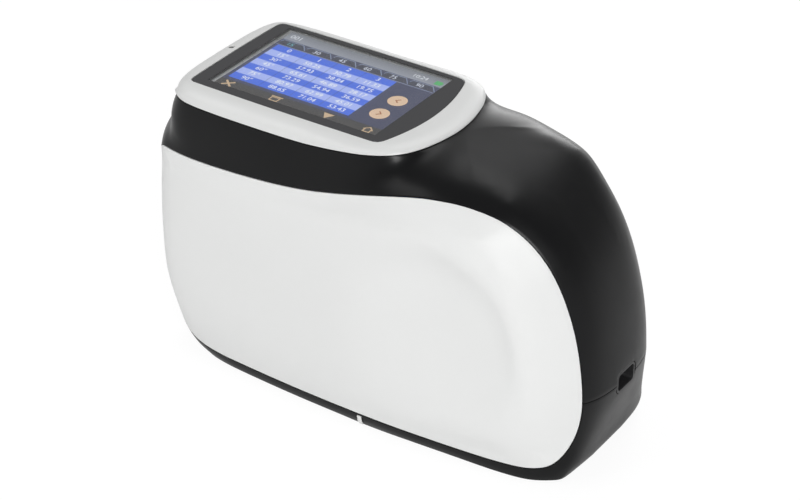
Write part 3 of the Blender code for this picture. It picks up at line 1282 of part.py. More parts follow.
def measure_parts(panel, button_material, switch_material, board):
    """Make the measuring button in the far panel, its switch and the board behind it."""
    def surface(x):
        return half_width(x) - recess(x, MEASURE_Z)
    slope = (surface(MEASURE_X + MM) - surface(MEASURE_X - MM)) / (2 * MM)
    out = Vector((-slope, 1.0, 0.0)).normalized()
    along = Vector((out.y, -out.x, 0.0))
    face = Vector((MEASURE_X, surface(MEASURE_X), MEASURE_Z))

    mesh = bmesh.new()
    stack(mesh, [obround(face + out * depth, along, BUTTON_GAP)
                 for depth in (-2 * WALL, 2 * MEASURE_PROUD)])
    combine(panel, helper(mesh, "measure_opening"), "DIFFERENCE")
    mesh = bmesh.new()
    flange = -WALL - PART_GAP
    profile = ((flange - FLANGE_THICKNESS, MEASURE_FLANGE), (flange, MEASURE_FLANGE),
               (flange, 0.0), (MEASURE_PROUD - MEASURE_EDGE, 0.0), (MEASURE_PROUD, -MEASURE_EDGE))
    stack(mesh, [obround(face + out * depth, along, grow) for depth, grow in profile])
    button = finish_mesh(mesh, "measure_button", button_material)
    switch_base = SWITCH_BOARD_FACE + BOARD_THICKNESS + PART_GAP
    plunger_top = switch_base + SWITCH_BODY + PLUNGER_HEIGHT
    depth = (face.y - plunger_top - SWITCH_GAP) / out.y - MEASURE_TRAVEL
    end = face - out * depth
    mesh = bmesh.new()
    turned(mesh, end, out, ((0, STEM_RADIUS), (depth + flange - FLANGE_THICKNESS / 2, STEM_RADIUS)))
    stem = helper(mesh, "measure_stem")
    combine(button, stem, "UNION")
    move_origin(button, face)

    middle = face.x - out.x * depth
    switch("measure_switch", Vector((middle, switch_base, MEASURE_Z)), Y, switch_material)
    mesh = bmesh.new()
    block(mesh, about(middle, SWITCH_BOARD_LENGTH),
          (SWITCH_BOARD_FACE, SWITCH_BOARD_FACE + BOARD_THICKNESS),
          (SWITCH_BOARD_BOTTOM, SWITCH_BOARD_TOP))
    finish_mesh(mesh, "switch_board", board)


def power_parts(shell, button_material, switch_material, board, steel):
    """Make the power button in the left end, its switch, board and bracket."""
    axis_start = Vector((LEFT_FACE, 0.0, POWER_Z))
    mesh = bmesh.new()
    radius = POWER_RADIUS + BUTTON_GAP
    turned(mesh, axis_start - X * 2 * MM, X, ((0, radius), (2 * MM + 2 * WALL, radius)))
    combine(shell, helper(mesh, "power_opening"), "DIFFERENCE")

    mesh = bmesh.new()
    flange = WALL + PART_GAP - POWER_SUNK
    wide = POWER_RADIUS + POWER_FLANGE
    stem_start = flange + FLANGE_THICKNESS
    stem_end = stem_start + POWER_STEM
    face = axis_start + X * POWER_SUNK
    turned(mesh, face, X,
           ((0, POWER_RADIUS - POWER_EDGE), (POWER_EDGE, POWER_RADIUS), (flange, POWER_RADIUS),
            (flange, wide), (stem_start, wide), (stem_start, STEM_RADIUS), (stem_end, STEM_RADIUS)))
    move_origin(finish_mesh(mesh, "power_button", button_material), face)

    plunger = face.x + stem_end + POWER_TRAVEL + SWITCH_GAP
    board_front = plunger + PLUNGER_HEIGHT + SWITCH_BODY + PART_GAP
    switch("power_switch", Vector((board_front - PART_GAP, 0.0, POWER_Z)), -X, switch_material)
    mesh = bmesh.new()
    board_back = board_front + BOARD_THICKNESS
    block(mesh, (board_front, board_back), about(0.0, POWER_BOARD_WIDTH),
          about(POWER_Z, POWER_BOARD_HEIGHT))
    finish_mesh(mesh, "power_board", board)

    left = board_back + PART_GAP
    top = POWER_Z + POWER_BOARD_HEIGHT / 2
    right = left + 2 * BRACKET_FOOT
    pairs = (((right, ON_CHASSIS), (right, ON_CHASSIS + BRACKET_PLATE)),
             ((left, ON_CHASSIS), (left + BRACKET_PLATE, ON_CHASSIS + BRACKET_PLATE)),
             ((left, top), (left + BRACKET_PLATE, top)))
    angled_bracket("power_bracket", pairs, steel)


def main():
    """Build the whole instrument."""
    clear_scene()
    black = finish("black_case", (0.012, 0.012, 0.013), 0.42)
    white = finish("white_panel", (0.78, 0.78, 0.77), 0.45)
    bezel_white = finish("white_bezel", (0.70, 0.70, 0.69), 0.4)
    mark_white = finish("mark_white", (0.8, 0.8, 0.8), 0.5)
    dark = finish("dark_plastic", (0.02, 0.02, 0.022), 0.5)
    grey = finish("grey_plastic", (0.18, 0.18, 0.19), 0.5)
    rubber = finish("rubber", (0.015, 0.015, 0.015), 0.85)
    glass = finish("cover_glass", (0.06, 0.06, 0.065), 0.08)
    panel = finish("display_panel", (0.03, 0.1, 0.5), 0.3)
    clear = finish("clear_plastic", (0.6, 0.65, 0.68), 0.1)
    pack = finish("battery_wrap", (0.03, 0.09, 0.3), 0.35)
    green = finish("circuit_board", (0.01, 0.12, 0.04), 0.45)
    chip = finish("chip", (0.015, 0.015, 0.017), 0.55)
    amber = finish("flat_cable", (0.45, 0.18, 0.03), 0.4)
    steel = finish("steel", (0.55, 0.56, 0.58), 0.3, 1.0)
    alloy = finish("cast_alloy", (0.25, 0.25, 0.26), 0.45, 1.0)
    brass = finish("brass", (0.7, 0.5, 0.2), 0.3, 1.0)

    top = belt_shell("top_shell", PART_GAP / 2, PARTING_RIGHT - PART_GAP / 2, black)
    base = belt_shell("base_shell", PARTING_RIGHT + PART_GAP / 2, LOOP - PART_GAP / 2, black)
    side_panel("near_side_panel", white, far=False)
    far_panel = side_panel("far_side_panel", white, far=True)
    screen_bezel(bezel_white)
    display_parts(glass, panel, green, steel, clear)
    display_ribbon(amber)
    base_details(base, rubber, steel)
    aperture_parts(grey, clear)
    position_mark("position_mark_near", mark_white, far=False)
    position_mark("position_mark_far", mark_white, far=True)
    chassis_plate(alloy)
    optics_parts(alloy, dark, green, steel, clear)
    board_parts(green, chip, brass)
    battery_parts(pack, dark, rubber)
    port_parts((top, base), dark, steel, green, steel)
    measure_parts(far_panel, grey, dark, green)
    power_parts(top, grey, dark, green, steel)


main()
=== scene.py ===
"""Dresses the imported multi-angle spectrophotometer and stands it in a plain studio.

Metres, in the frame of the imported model: +X is the handle end with the data port, -Y faces the
user and +Z is up. A piece that stands for a CAD node stays where that node is.
"""

from __future__ import annotations

import logging
import math
from contextlib import contextmanager
from dataclasses import dataclass
from enum import Enum
from typing import Callable, Iterator, Sequence

import bmesh
import bpy
from mathutils import Matrix, Vector


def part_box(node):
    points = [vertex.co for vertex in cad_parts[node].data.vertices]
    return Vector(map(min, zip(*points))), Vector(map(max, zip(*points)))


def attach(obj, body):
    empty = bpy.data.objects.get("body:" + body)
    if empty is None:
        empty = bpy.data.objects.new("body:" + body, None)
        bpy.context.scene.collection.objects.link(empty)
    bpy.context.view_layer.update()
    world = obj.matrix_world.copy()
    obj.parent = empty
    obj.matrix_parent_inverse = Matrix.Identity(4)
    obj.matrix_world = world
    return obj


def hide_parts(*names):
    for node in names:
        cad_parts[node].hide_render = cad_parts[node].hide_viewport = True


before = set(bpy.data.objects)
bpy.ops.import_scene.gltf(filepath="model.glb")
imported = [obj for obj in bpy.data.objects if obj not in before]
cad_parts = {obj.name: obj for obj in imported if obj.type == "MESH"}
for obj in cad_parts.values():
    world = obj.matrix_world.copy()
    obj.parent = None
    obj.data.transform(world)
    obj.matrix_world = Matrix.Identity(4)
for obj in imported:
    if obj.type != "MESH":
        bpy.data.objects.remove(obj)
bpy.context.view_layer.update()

MM = 0.001
LOG = logging.getLogger("spectrophotometer")

Colour = tuple[float, float, float]
Steps = tuple[tuple[float, float], ...]


class Body(str, Enum):
    """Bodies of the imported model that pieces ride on."""

    CASE = "case"
    MEASURE = "measure_button"
    POWER = "power_button"


class Slot(str, Enum):
    """Material slots of the record."""

    BLACK_CASE = "black_case"
    WHITE_PANEL = "white_panel"
    WHITE_BEZEL = "white_bezel"
    DARK = "dark_plastic"
    GREY = "grey_plastic"
    RUBBER = "rubber"
    GLASS = "cover_glass"
    DISPLAY = "display_panel"
    CLEAR = "clear_plastic"
    STEEL = "steel"
    BRASS = "brass"


def linear(red: int, green: int, blue: int) -> Colour:
    """Turn a colour as a screen shows it, 0 to 255, into linear light.

    Args:
        red: Red level.
        green: Green level.
        blue: Blue level.

    Returns:
        The same colour in linear light.
    """
    def one(level: int) -> float:
        """Turn one level into linear light."""
        share = level / 255.0
        return share / 12.92 if share <= 0.04045 else ((share + 0.055) / 1.055) ** 2.4
    return one(red), one(green), one(blue)


# Finishes


class Nodes:
    """Shader nodes of one tree, with short calls to add and join them."""

    def __init__(self, tree: bpy.types.NodeTree) -> None:
        """Take up a tree.

        Args:
            tree: The tree that the nodes go into.
        """
        self.tree = tree

    def node(self, kind: str, **inputs: object) -> bpy.types.Node:
        """Add a node.

        Args:
            kind: Node type without its ShaderNode prefix.
            inputs: Values or outputs for its sockets, with _ for a space.

        Returns:
            The new node.
        """
        made = self.tree.nodes.new("ShaderNode" + kind)
        for key, value in inputs.items():
            self.join(value, made.inputs[key.replace("_", " ")])
        return made

    def join(self, value: object, socket: bpy.types.NodeSocket) -> None:
        """Link an output to a socket, or set the socket to a value.

        Args:
            value: An output socket, a number or a colour.
            socket: The input that takes it.
        """
        if isinstance(value, bpy.types.NodeSocket):
            self.tree.links.new(value, socket)
        elif isinstance(value, tuple) and len(value) == 3 and socket.type == "RGBA":
            socket.default_value = (*value, 1.0)
        else:
            socket.default_value = value

    def ranged(self, value: bpy.types.NodeSocket, low: float, high: float,
               start: float = 0.3, end: float = 0.7) -> bpy.types.NodeSocket:
        """Map a pattern to a range of values.

        Args:
            value: The pattern.
            low: Result at start.
            high: Result at end.
            start: Pattern value that gives low.
            end: Pattern value that gives high.

        Returns:
            The mapped value.
        """
        made = self.node("MapRange", Value=value, From_Min=start, From_Max=end, To_Min=low,
                         To_Max=high)
        return made.outputs["Result"]

    def mixed(self, share: bpy.types.NodeSocket, first: object,
              second: object) -> bpy.types.NodeSocket:
        """Mix two colours.

        Args:
            share: Share of the second colour.
            first: First colour, or an output.
            second: Second colour, or an output.

        Returns:
            The mixed colour.
        """
        made = self.tree.nodes.new("ShaderNodeMix")
        made.data_type = "RGBA"
        self.join(share, made.inputs[0])
        self.join(first, made.inputs[6])
        self.join(second, made.inputs[7])
        return made.outputs[2]

    def maths(self, operation: str, first: object, second: object) -> bpy.types.NodeSocket:
        """Join two values by an operation.

        Args:
            operation: Name of the operation.
            first: First value, or an output.
            second: Second value, or an output.

        Returns:
            The result.
        """
        made = self.tree.nodes.new("ShaderNodeMath")
        made.operation = operation
        self.join(first, made.inputs[0])
        self.join(second, made.inputs[1])
        return made.outputs[0]


class Graph(Nodes):
    """Shader nodes of one material, with its Principled shader and Object coordinates."""

    def __init__(self, name: str) -> None:
        """Start a material that holds one Principled shader.

        Args:
            name: Name of the material.
        """
        self.material = bpy.data.materials.new(name)
        self.material.use_nodes = True
        super().__init__(self.material.node_tree)
        self.shader = self.tree.nodes["Principled BSDF"]
        self.coordinates = self.node("TexCoord").outputs["Object"]

    def noise(self, size: float, detail: float = 2.0, stretch: Colour = (1.0, 1.0, 1.0),
              roughness: float = 0.5) -> bpy.types.NodeSocket:
        """Add a noise pattern.

        Args:
            size: Size of its features in metres.
            detail: Octaves of finer noise.
            stretch: Factors that squeeze the pattern along x, y and z.
            roughness: Weight of the finer octaves.

        Returns:
            The pattern, from 0 to 1.
        """
        place = self.node("Mapping", Vector=self.coordinates, Scale=stretch)
        pattern = self.node("TexNoise", Vector=place.outputs[0], Scale=1.0 / size, Detail=detail,
                            Roughness=roughness)
        return pattern.outputs["Fac"]

    def toned(self, pattern: bpy.types.NodeSocket, colour: Colour,
              drift: float) -> bpy.types.NodeSocket:
        """Let a colour drift darker and lighter with a pattern.

        Args:
            pattern: The pattern.
            colour: The middle colour.
            drift: Share by which it drifts either way.

        Returns:
            The drifting colour.
        """
        return self.mixed(self.ranged(pattern, 0.0, 1.0), varied(colour, -drift),
                          varied(colour, drift))

    def bump(self, height: bpy.types.NodeSocket, depth: float) -> None:
        """Raise the surface by a pattern.

        Args:
            height: The pattern.
            depth: Height in metres where the pattern is 1.
        """
        before = self.shader.inputs["Normal"]
        made = self.node("Bump", Height=height, Distance=depth, Strength=1.0)
        if before.is_linked:
            self.join(before.links[0].from_socket, made.inputs["Normal"])
        self.join(made.outputs["Normal"], before)

    def shade(self, **inputs: object) -> None:
        """Set sockets of the Principled shader.

        Args:
            inputs: Values or outputs for its sockets, with _ for a space.
        """
        for key, value in inputs.items():
            self.join(value, self.shader.inputs[key.replace("_", " ")])


def varied(colour: Colour, share: float) -> Colour:
    """Lighten a colour by a share of itself, or darken it by a negative share."""
    return tuple(min(1.0, part * (1.0 + share)) for part in colour)


@dataclass(frozen=True)
class Moulded:
    """Moulded plastic or rubber, with a fine grain and a slight drift in tone.

    Attributes:
        name: Name of the material.
        colour: Base colour in linear light.
        roughness: Middle roughness.
        grain: Size of the surface grain in metres.
        depth: Height of the grain in metres.
        drift: Share by which the tone drifts.
        gloss: Specular level, 0.5 for common plastic.
        patch: Size of the patches in which the tone drifts, in metres.
        wear: Size of the patches in which the roughness drifts, in metres.
        wear_drift: How far the roughness drifts either way.
    """

    name: str
    colour: Colour
    roughness: float
    grain: float
    depth: float
    drift: float = 0.02
    gloss: float = 0.5
    patch: float = 45 * MM
    wear: float = 9 * MM
    wear_drift: float = 0.03

    def material(self) -> bpy.types.Material:
        """Make the material."""
        graph = Graph(self.name)
        colour = graph.toned(graph.noise(self.patch, 1.0), self.colour, self.drift)
        worn = graph.noise(self.wear, 3.0, roughness=0.6)
        rough = graph.ranged(worn, self.roughness - self.wear_drift,
                             self.roughness + self.wear_drift)
        graph.bump(graph.noise(self.grain, 2.0), self.depth)
        graph.shade(Base_Color=colour, Roughness=rough, Specular_IOR_Level=self.gloss)
        return graph.material


@dataclass(frozen=True)
class Metal:
    """Rolled, turned or cast metal.

    Attributes:
        name: Name of the material.
        colour: Base colour in linear light.
        roughness: Middle roughness.
        streak: Length of the brushed streaks in metres, or of the casting's grain.
        stretch: Factors that squeeze the pattern along x, y and z.
        depth: Height of the pattern in metres.
        glow: Painted light that the piece gives off, for the studio light that the cover glass
            keeps off a strip under it.
        drift: Share by which the tone drifts.
        wear: How far the roughness drifts down and up.
    """

    name: str
    colour: Colour
    roughness: float
    streak: float
    stretch: Colour = (1.0, 1.0, 1.0)
    depth: float = 2e-6
    glow: float = 0.0
    drift: float = 0.08
    wear: tuple[float, float] = (0.06, 0.08)

    def material(self) -> bpy.types.Material:
        """Make the material."""
        graph = Graph(self.name)
        streaks = graph.noise(self.streak, 4.0, self.stretch, 0.65)
        colour = graph.toned(streaks, self.colour, self.drift)
        rough = graph.ranged(streaks, self.roughness - self.wear[0],
                             self.roughness + self.wear[1])
        graph.bump(streaks, self.depth)
        graph.shade(Base_Color=colour, Roughness=rough, Metallic=1.0)
        # Painted light: a faint emission in the metal's own colour stands in for light that does
        # not reach the piece.
        if self.glow:
            graph.shade(Emission_Color=colour, Emission_Strength=self.glow)
        return graph.material


@dataclass(frozen=True)
class Clear:
    """Clear glass or plastic.

    Attributes:
        name: Name of the material.
        tint: Colour of what passes through.
        roughness: Middle roughness.
        index: Index of refraction.
        smear: Size of the faint smears in metres.
    """

    name: str
    tint: Colour
    roughness: float = 0.02
    index: float = 1.5
    smear: float = 20 * MM

    def material(self) -> bpy.types.Material:
        """Make the material."""
        graph = Graph(self.name)
        smears = graph.noise(self.smear, 3.0)
        colour = graph.mixed(graph.ranged(smears, 0.0, 1.0), varied(self.tint, -0.02), self.tint)
        rough = graph.ranged(smears, self.roughness * 0.5, self.roughness * 1.5)
        graph.shade(Base_Color=colour, Roughness=rough, IOR=self.index,
                    Transmission_Weight=1.0)
        return graph.material


@dataclass(frozen=True)
class Ink:
    """Ink printed on the back of the cover glass, seen through its gloss.

    Attributes:
        name: Name of the material.
        colour: Colour of the ink.
        roughness: Roughness of the glass over it.
        dot: Size of the ink's dots in metres.
        drift: Share by which the dots differ.
        smear: Size of the faint smears in metres.
        gloss: Specular level.
    """

    name: str
    colour: Colour
    roughness: float = 0.06
    dot: float = 0.12 * MM
    drift: float = 0.06
    smear: float = 16 * MM
    gloss: float = 0.3

    def material(self) -> bpy.types.Material:
        """Make the material."""
        graph = Graph(self.name)
        colour = graph.toned(graph.noise(self.dot, 1.0), self.colour, self.drift)
        smears = graph.noise(self.smear, 3.0)
        rough = graph.ranged(smears, self.roughness * 0.6, self.roughness * 1.4)
        graph.shade(Base_Color=colour, Roughness=rough, Specular_IOR_Level=self.gloss)
        return graph.material


@dataclass(frozen=True)
class Lit:
    """One colour of the lit display, with the faint grid of its pixels.

    Attributes:
        name: Name of the material.
        colour: Colour of the light.
        fade: Colour at the far edge of a gradient, or None for an even colour.
        edges: Lowest and highest y of the gradient in metres.
        dark: Colour of the display where it gives no light.
        pixel: Pitch of the pixels in metres.
        grid: Share of the light that the grid takes.
    """

    name: str
    colour: Colour
    fade: Colour | None = None
    edges: tuple[float, float] = (0.0, 1.0)
    dark: Colour = (0.004, 0.004, 0.005)
    pixel: float = 0.153 * MM
    grid: float = 0.06

    def material(self) -> bpy.types.Material:
        """Make the material."""
        graph = Graph(self.name)
        place = graph.node("SeparateXYZ", Vector=graph.coordinates)
        light: object = self.colour
        if self.fade is not None:
            share = graph.ranged(place.outputs["Y"], 0.0, 1.0, *self.edges)
            light = graph.mixed(share, self.colour, self.fade)
        pixels = graph.node("TexChecker", Vector=graph.coordinates, Scale=1.0 / self.pixel)
        taken = graph.ranged(pixels.outputs["Fac"], 0.0, self.grid, 0.0, 1.0)
        light = graph.mixed(taken, light, (0.0, 0.0, 0.0))
        graph.shade(Base_Color=self.dark, Roughness=0.35, Emission_Color=light,
                    Emission_Strength=1.0)
        return graph.material


@dataclass(frozen=True)
class CircuitBoard:
    """Solder mask over copper tracks, with plated holes.

    Attributes:
        name: Name of the material.
        mask: Colour of the mask between the tracks.
        track: Colour of the mask over the copper.
        pitch: Spacing of the tracks in metres.
        plating: Colour of the plated holes.
        copper: Thickness of the copper in metres.
    """

    name: str
    mask: Colour
    track: Colour
    pitch: float = 1.6 * MM
    plating: Colour = (0.45, 0.36, 0.16)
    copper: float = 20e-6

    def material(self) -> bpy.types.Material:
        """Make the material."""
        graph = Graph(self.name)
        lanes = graph.node("TexBrick", Vector=graph.coordinates, Scale=1.0 / (6 * self.pitch),
                           Mortar_Size=0.03, Mortar_Smooth=0.1, Brick_Width=1.7,
                           Row_Height=0.25)
        holes = graph.node("TexVoronoi", Vector=graph.coordinates, Scale=1.0 / (2.2 * self.pitch))
        plated = graph.ranged(holes.outputs["Distance"], 1.0, 0.0, 0.10, 0.13)
        green = graph.mixed(lanes.outputs["Fac"], self.mask, self.track)
        colour = graph.mixed(plated, green, self.plating)
        graph.bump(lanes.outputs["Fac"], self.copper)
        rough = graph.ranged(graph.noise(5 * MM, 3.0), 0.30, 0.42)
        graph.shade(Base_Color=colour, Roughness=rough)
        return graph.material


@dataclass(frozen=True)
class Striped:
    """Film with straight bands, as on a flat cable or a shrink sleeve.

    Attributes:
        name: Name of the material.
        first: Colour of the film.
        second: Colour of the bands.
        pitch: Spacing of the bands in metres.
        axis: Direction across the bands.
        roughness: Middle roughness.
        crease: Size of the creases in metres.
        depth: Depth of the creases in metres.
    """

    name: str
    first: Colour
    second: Colour
    pitch: float
    axis: str = "X"
    roughness: float = 0.35
    crease: float = 4 * MM
    depth: float = 30e-6

    def material(self) -> bpy.types.Material:
        """Make the material."""
        graph = Graph(self.name)
        bands = graph.node("TexWave", Vector=graph.coordinates, Scale=math.tau / 20 / self.pitch)
        bands.bands_direction = self.axis
        share = graph.ranged(bands.outputs["Fac"], 0.0, 1.0, 0.35, 0.65)
        colour = graph.mixed(share, self.first, self.second)
        creases = graph.noise(self.crease, 3.0)
        rough = graph.ranged(creases, self.roughness - 0.05, self.roughness + 0.08)
        graph.bump(creases, self.depth)
        graph.shade(Base_Color=colour, Roughness=rough)
        return graph.material


class Finishes:
    """Every finish of the instrument, made once."""

    def __init__(self) -> None:
        """Make the materials."""
        self.case = Moulded("satin_black", (0.0030, 0.0031, 0.0036), 0.33, 0.35 * MM,
                            2.2e-6, 0.04, 0.20).material()
        self.panel = Moulded("panel_white", (0.80, 0.806, 0.80), 0.42, 0.5 * MM, 2.0e-6,
                             0.006, 0.35).material()
        self.bezel = Moulded("bezel_white", (0.74, 0.746, 0.74), 0.38, 0.5 * MM, 2.0e-6,
                             0.006).material()
        self.mark = Moulded("mark_paint", (0.85, 0.85, 0.84), 0.5, 0.2 * MM, 3e-6,
                            0.01).material()
        self.dark = Moulded("dark_nylon", (0.014, 0.014, 0.015), 0.45, 0.3 * MM, 4e-6,
                            0.05).material()
        self.grey = Moulded("key_grey", (0.16, 0.16, 0.17), 0.42, 0.3 * MM, 3e-6,
                            0.02).material()
        self.foot = Moulded("foot_rubber", (0.014, 0.014, 0.014), 0.8, 0.25 * MM, 8e-6,
                            0.08).material()
        self.anodised = Moulded("aperture_grey", (0.10, 0.10, 0.105), 0.36, 0.15 * MM, 2e-6,
                                0.03).material()
        self.ink = Ink("glass_border", linear(66, 66, 68)).material()
        self.window = Clear("glass_window", (0.97, 0.98, 0.98)).material()
        self.lens = Clear("lens_glass", (0.92, 0.96, 0.97)).material()
        self.smoked = Clear("light_pipe", (0.25, 0.25, 0.26), 0.12, 1.49,
                            1 * MM).material()
        # The display frame's faint glow is painted light, for the studio light that the cover glass
        # keeps off it.
        self.frame = Metal("display_frame_painted_light", (0.62, 0.63, 0.65), 0.3, 2 * MM,
                           (1.0, 1.0, 1.0), 1e-6, 0.22).material()
        self.steel = Metal("rolled_steel", (0.55, 0.56, 0.58), 0.30, 1.5 * MM,
                           (0.15, 1.0, 1.0)).material()
        self.alloy = Metal("cast_alloy", (0.26, 0.26, 0.27), 0.46, 0.8 * MM, (1.0, 1.0, 1.0),
                           12e-6).material()
        self.brass = Metal("turned_brass", (0.70, 0.50, 0.20), 0.30, 0.6 * MM,
                           (1.0, 0.1, 1.0)).material()
        self.gold = Metal("contact_gold", (0.85, 0.62, 0.25), 0.22, 0.5 * MM).material()
        self.board = CircuitBoard("solder_mask", (0.006, 0.075, 0.028),
                                  (0.012, 0.125, 0.045)).material()
        self.chip = Moulded("chip_epoxy", (0.014, 0.014, 0.016), 0.55, 0.1 * MM, 4e-6,
                            0.06).material()
        self.cable = Striped("amber_film", (0.42, 0.16, 0.03), (0.55, 0.27, 0.07), 1 * MM,
                             "X").material()
        self.sleeve = Striped("shrink_sleeve", (0.025, 0.08, 0.28), (0.03, 0.09, 0.30),
                              31 * MM, "X", 0.3).material()


# Work by hand: selecting, editing and finishing meshes


def only(*pieces: bpy.types.Object) -> bpy.types.Object:
    """Select these pieces alone, with the first one active.

    Args:
        pieces: The pieces.

    Returns:
        The first piece.
    """
    bpy.ops.object.select_all(action="DESELECT")
    for piece in pieces:
        piece.select_set(True)
    bpy.context.view_layer.objects.active = pieces[0]
    return pieces[0]


@contextmanager
def editing(piece: bpy.types.Object, mode: str = "FACE") -> Iterator[None]:
    """Open a piece in edit mode, with everything selected, and close it afterwards.

    Args:
        piece: The piece.
        mode: What is selected: VERT, EDGE or FACE.
    """
    only(piece)
    bpy.ops.object.mode_set(mode="EDIT")
    bpy.ops.mesh.select_mode(type=mode)
    bpy.ops.mesh.select_all(action="SELECT")
    try:
        yield
    finally:
        bpy.ops.object.mode_set(mode="OBJECT")


def pick(piece: bpy.types.Object, kind: str,
         test: Callable[[bmesh.types.BMFace | bmesh.types.BMEdge], bool]) -> None:
    """Select the faces or the edges that pass a test, in edit mode.

    Args:
        piece: The piece that is open.
        kind: What is tested: faces or edges.
        test: Says whether one of them is selected.
    """
    mesh = bmesh.from_edit_mesh(piece.data)
    for part in (*mesh.verts, *mesh.edges, *mesh.faces):
        part.select = False
    for part in getattr(mesh, kind):
        if test(part):
            part.select_set(True)
    bmesh.update_edit_mesh(piece.data)


def apply(piece: bpy.types.Object, kind: str, **settings: object) -> None:
    """Add a modifier to a piece and apply it.

    Args:
        piece: The piece.
        kind: Type of the modifier.
        settings: Its settings.
    """
    only(piece)
    bpy.ops.object.modifier_add(type=kind)
    modifier = piece.modifiers[-1]
    for key, value in settings.items():
        setattr(modifier, key, value)
    bpy.ops.object.modifier_apply(modifier=modifier.name)


def smooth(piece: bpy.types.Object, angle: float = 32.0) -> None:
    """Shade a piece smooth, but for edges over an angle in degrees."""
    only(piece)
    bpy.ops.object.shade_smooth_by_angle(angle=math.radians(angle))


def named(name: str) -> bpy.types.Object:
    """Name the active object, put its place into its mesh and return it.

    Args:
        name: New name.

    Returns:
        The object.
    """
    piece = bpy.context.active_object
    piece.name = piece.data.name = name
    only(piece)
    bpy.ops.object.transform_apply(location=True, rotation=True, scale=True)
    return piece


def settle(piece: bpy.types.Object, finish: bpy.types.Material,
           body: Body = Body.CASE, nodes: Sequence[str] = ()) -> bpy.types.Object:
    """Dress a finished piece, make it ride on its body and report it.

    Args:
        piece: The piece.
        finish: Its material, for a piece that has none yet.
        body: The body that it moves with.
        nodes: CAD nodes that it stands for.

    Returns:
        The piece.
    """
    if not piece.data.materials:
        piece.data.materials.append(finish)
    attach(piece, body.value)
    if nodes:
        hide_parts(*nodes)
    piece.data.calc_loop_triangles()
    LOG.info("%s: %d triangles, rides on %s", piece.name, len(piece.data.loop_triangles),
             body.value)
    return piece


def copied(node: str, name: str) -> bpy.types.Object:
    """Copy a CAD node as one joined mesh.

    Args:
        node: Name of the node.
        name: Name of the copy.

    Returns:
        The copy.
    """
    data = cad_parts[node].data.copy()
    data.materials.clear()
    piece = bpy.data.objects.new(name, data)
    data.name = name
    bpy.context.scene.collection.objects.link(piece)
    only(piece)
    bpy.ops.mesh.customdata_custom_splitnormals_clear()
    with editing(piece, "VERT"):
        bpy.ops.mesh.remove_doubles(threshold=5e-6)
        bpy.ops.mesh.normals_make_consistent(inside=False)
        bpy.ops.mesh.mark_sharp(clear=True)
    return piece


def bevelled(piece: bpy.types.Object, width: float, segments: int = 2,
             angle: float = 38.0) -> bpy.types.Object:
    """Round the edges of a piece that are sharper than an angle, then shade it smooth.

    Args:
        piece: The piece.
        width: Width of the rounding in metres.
        segments: Faces across the rounding.
        angle: Least angle in degrees.

    Returns:
        The piece.
    """
    apply(piece, "BEVEL", width=width, segments=segments, limit_method="ANGLE",
          angle_limit=math.radians(angle), miter_outer="MITER_ARC", use_clamp_overlap=True)
    smooth(piece)
    return piece


def swept(node: str, name: str, levels: int, edge: float,
          crease: float = 38.0) -> bpy.types.Object:
    """Copy a CAD node and turn its facets into a smooth skin with slightly rounded edges.

    Args:
        node: Name of the node.
        name: Name of the new piece.
        levels: How often the skin is subdivided.
        edge: Rounding of its edges in metres.
        crease: Edges over this angle in degrees stay edges.

    Returns:
        The new piece.
    """
    piece = copied(node, name)
    with editing(piece, "EDGE"):
        bpy.ops.mesh.tris_convert_to_quads(face_threshold=math.radians(25.0),
                                           shape_threshold=math.radians(60.0))
        bpy.ops.mesh.select_all(action="DESELECT")
        bpy.ops.mesh.edges_select_sharp(sharpness=math.radians(crease))
        bpy.ops.transform.edge_crease(value=1.0)
    apply(piece, "SUBSURF", levels=levels, render_levels=levels)
    return bevelled(piece, edge)


def standing(node: str) -> tuple[Vector, float, float]:
    """Middle of an upright round CAD node's lower face, its radius and its height."""
    low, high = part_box(node)
    centre = Vector(((low.x + high.x) / 2, (low.y + high.y) / 2, low.z))
    return centre, (high.x - low.x) / 2, high.z - low.z


def stepped(piece: bpy.types.Object, facing: float, steps: Steps) -> None:
    """Inset the faces that look up or down, step by step.

    Args:
        piece: The piece.
        facing: 1.0 for the faces that look up, -1.0 for those that look down.
        steps: Width and rise of each step in metres.
    """
    with editing(piece):
        pick(piece, "faces", lambda face: face.normal.z * facing > 0.9)
        for width, rise in steps:
            bpy.ops.mesh.inset(thickness=width, depth=rise)


def eased(value: float, ends: tuple[float, float], soft: bool = True) -> float:
    """Share of the way from one end to the other, from 0 to 1.

    Args:
        value: Place between the ends.
        ends: The two ends.
        soft: Whether the share starts and stops gently.

    Returns:
        The share.
    """
    share = min(1.0, max(0.0, (value - ends[0]) / (ends[1] - ends[0])))
    return share * share * (3.0 - 2.0 * share) if soft else share


def disc(centre: Vector, radius: float, height: float, name: str,
         vertices: int = 64) -> bpy.types.Object:
    """Add an upright disc that stands on its centre point.

    Args:
        centre: Middle of its lower face.
        radius: Its radius.
        height: Its height.
        name: Its name.
        vertices: Points round its rim.

    Returns:
        The disc.
    """
    bpy.ops.object.select_all(action="DESELECT")
    bpy.ops.mesh.primitive_cylinder_add(vertices=vertices, radius=radius, depth=height,
                                        location=centre + Vector((0.0, 0.0, height / 2)))
    return named(name)


def slab(low: Vector, high: Vector, name: str) -> bpy.types.Object:
    """Add a block between two corners.

    Args:
        low: Its lowest corner.
        high: Its highest corner.
        name: Its name.

    Returns:
        The block.
    """
    bpy.ops.object.select_all(action="DESELECT")
    bpy.ops.mesh.primitive_cube_add(size=1.0, location=(low + high) / 2, scale=high - low)
    return named(name)


def cut(piece: bpy.types.Object, tool: bpy.types.Object, operation: str = "DIFFERENCE") -> None:
    """Cut a tool out of a piece, or join it on, and remove the tool.

    Args:
        piece: The piece.
        tool: The shape that works on it.
        operation: DIFFERENCE or UNION.
    """
    apply(piece, "BOOLEAN", object=tool, operation=operation, solver="EXACT")
    bpy.data.objects.remove(tool, do_unlink=True)


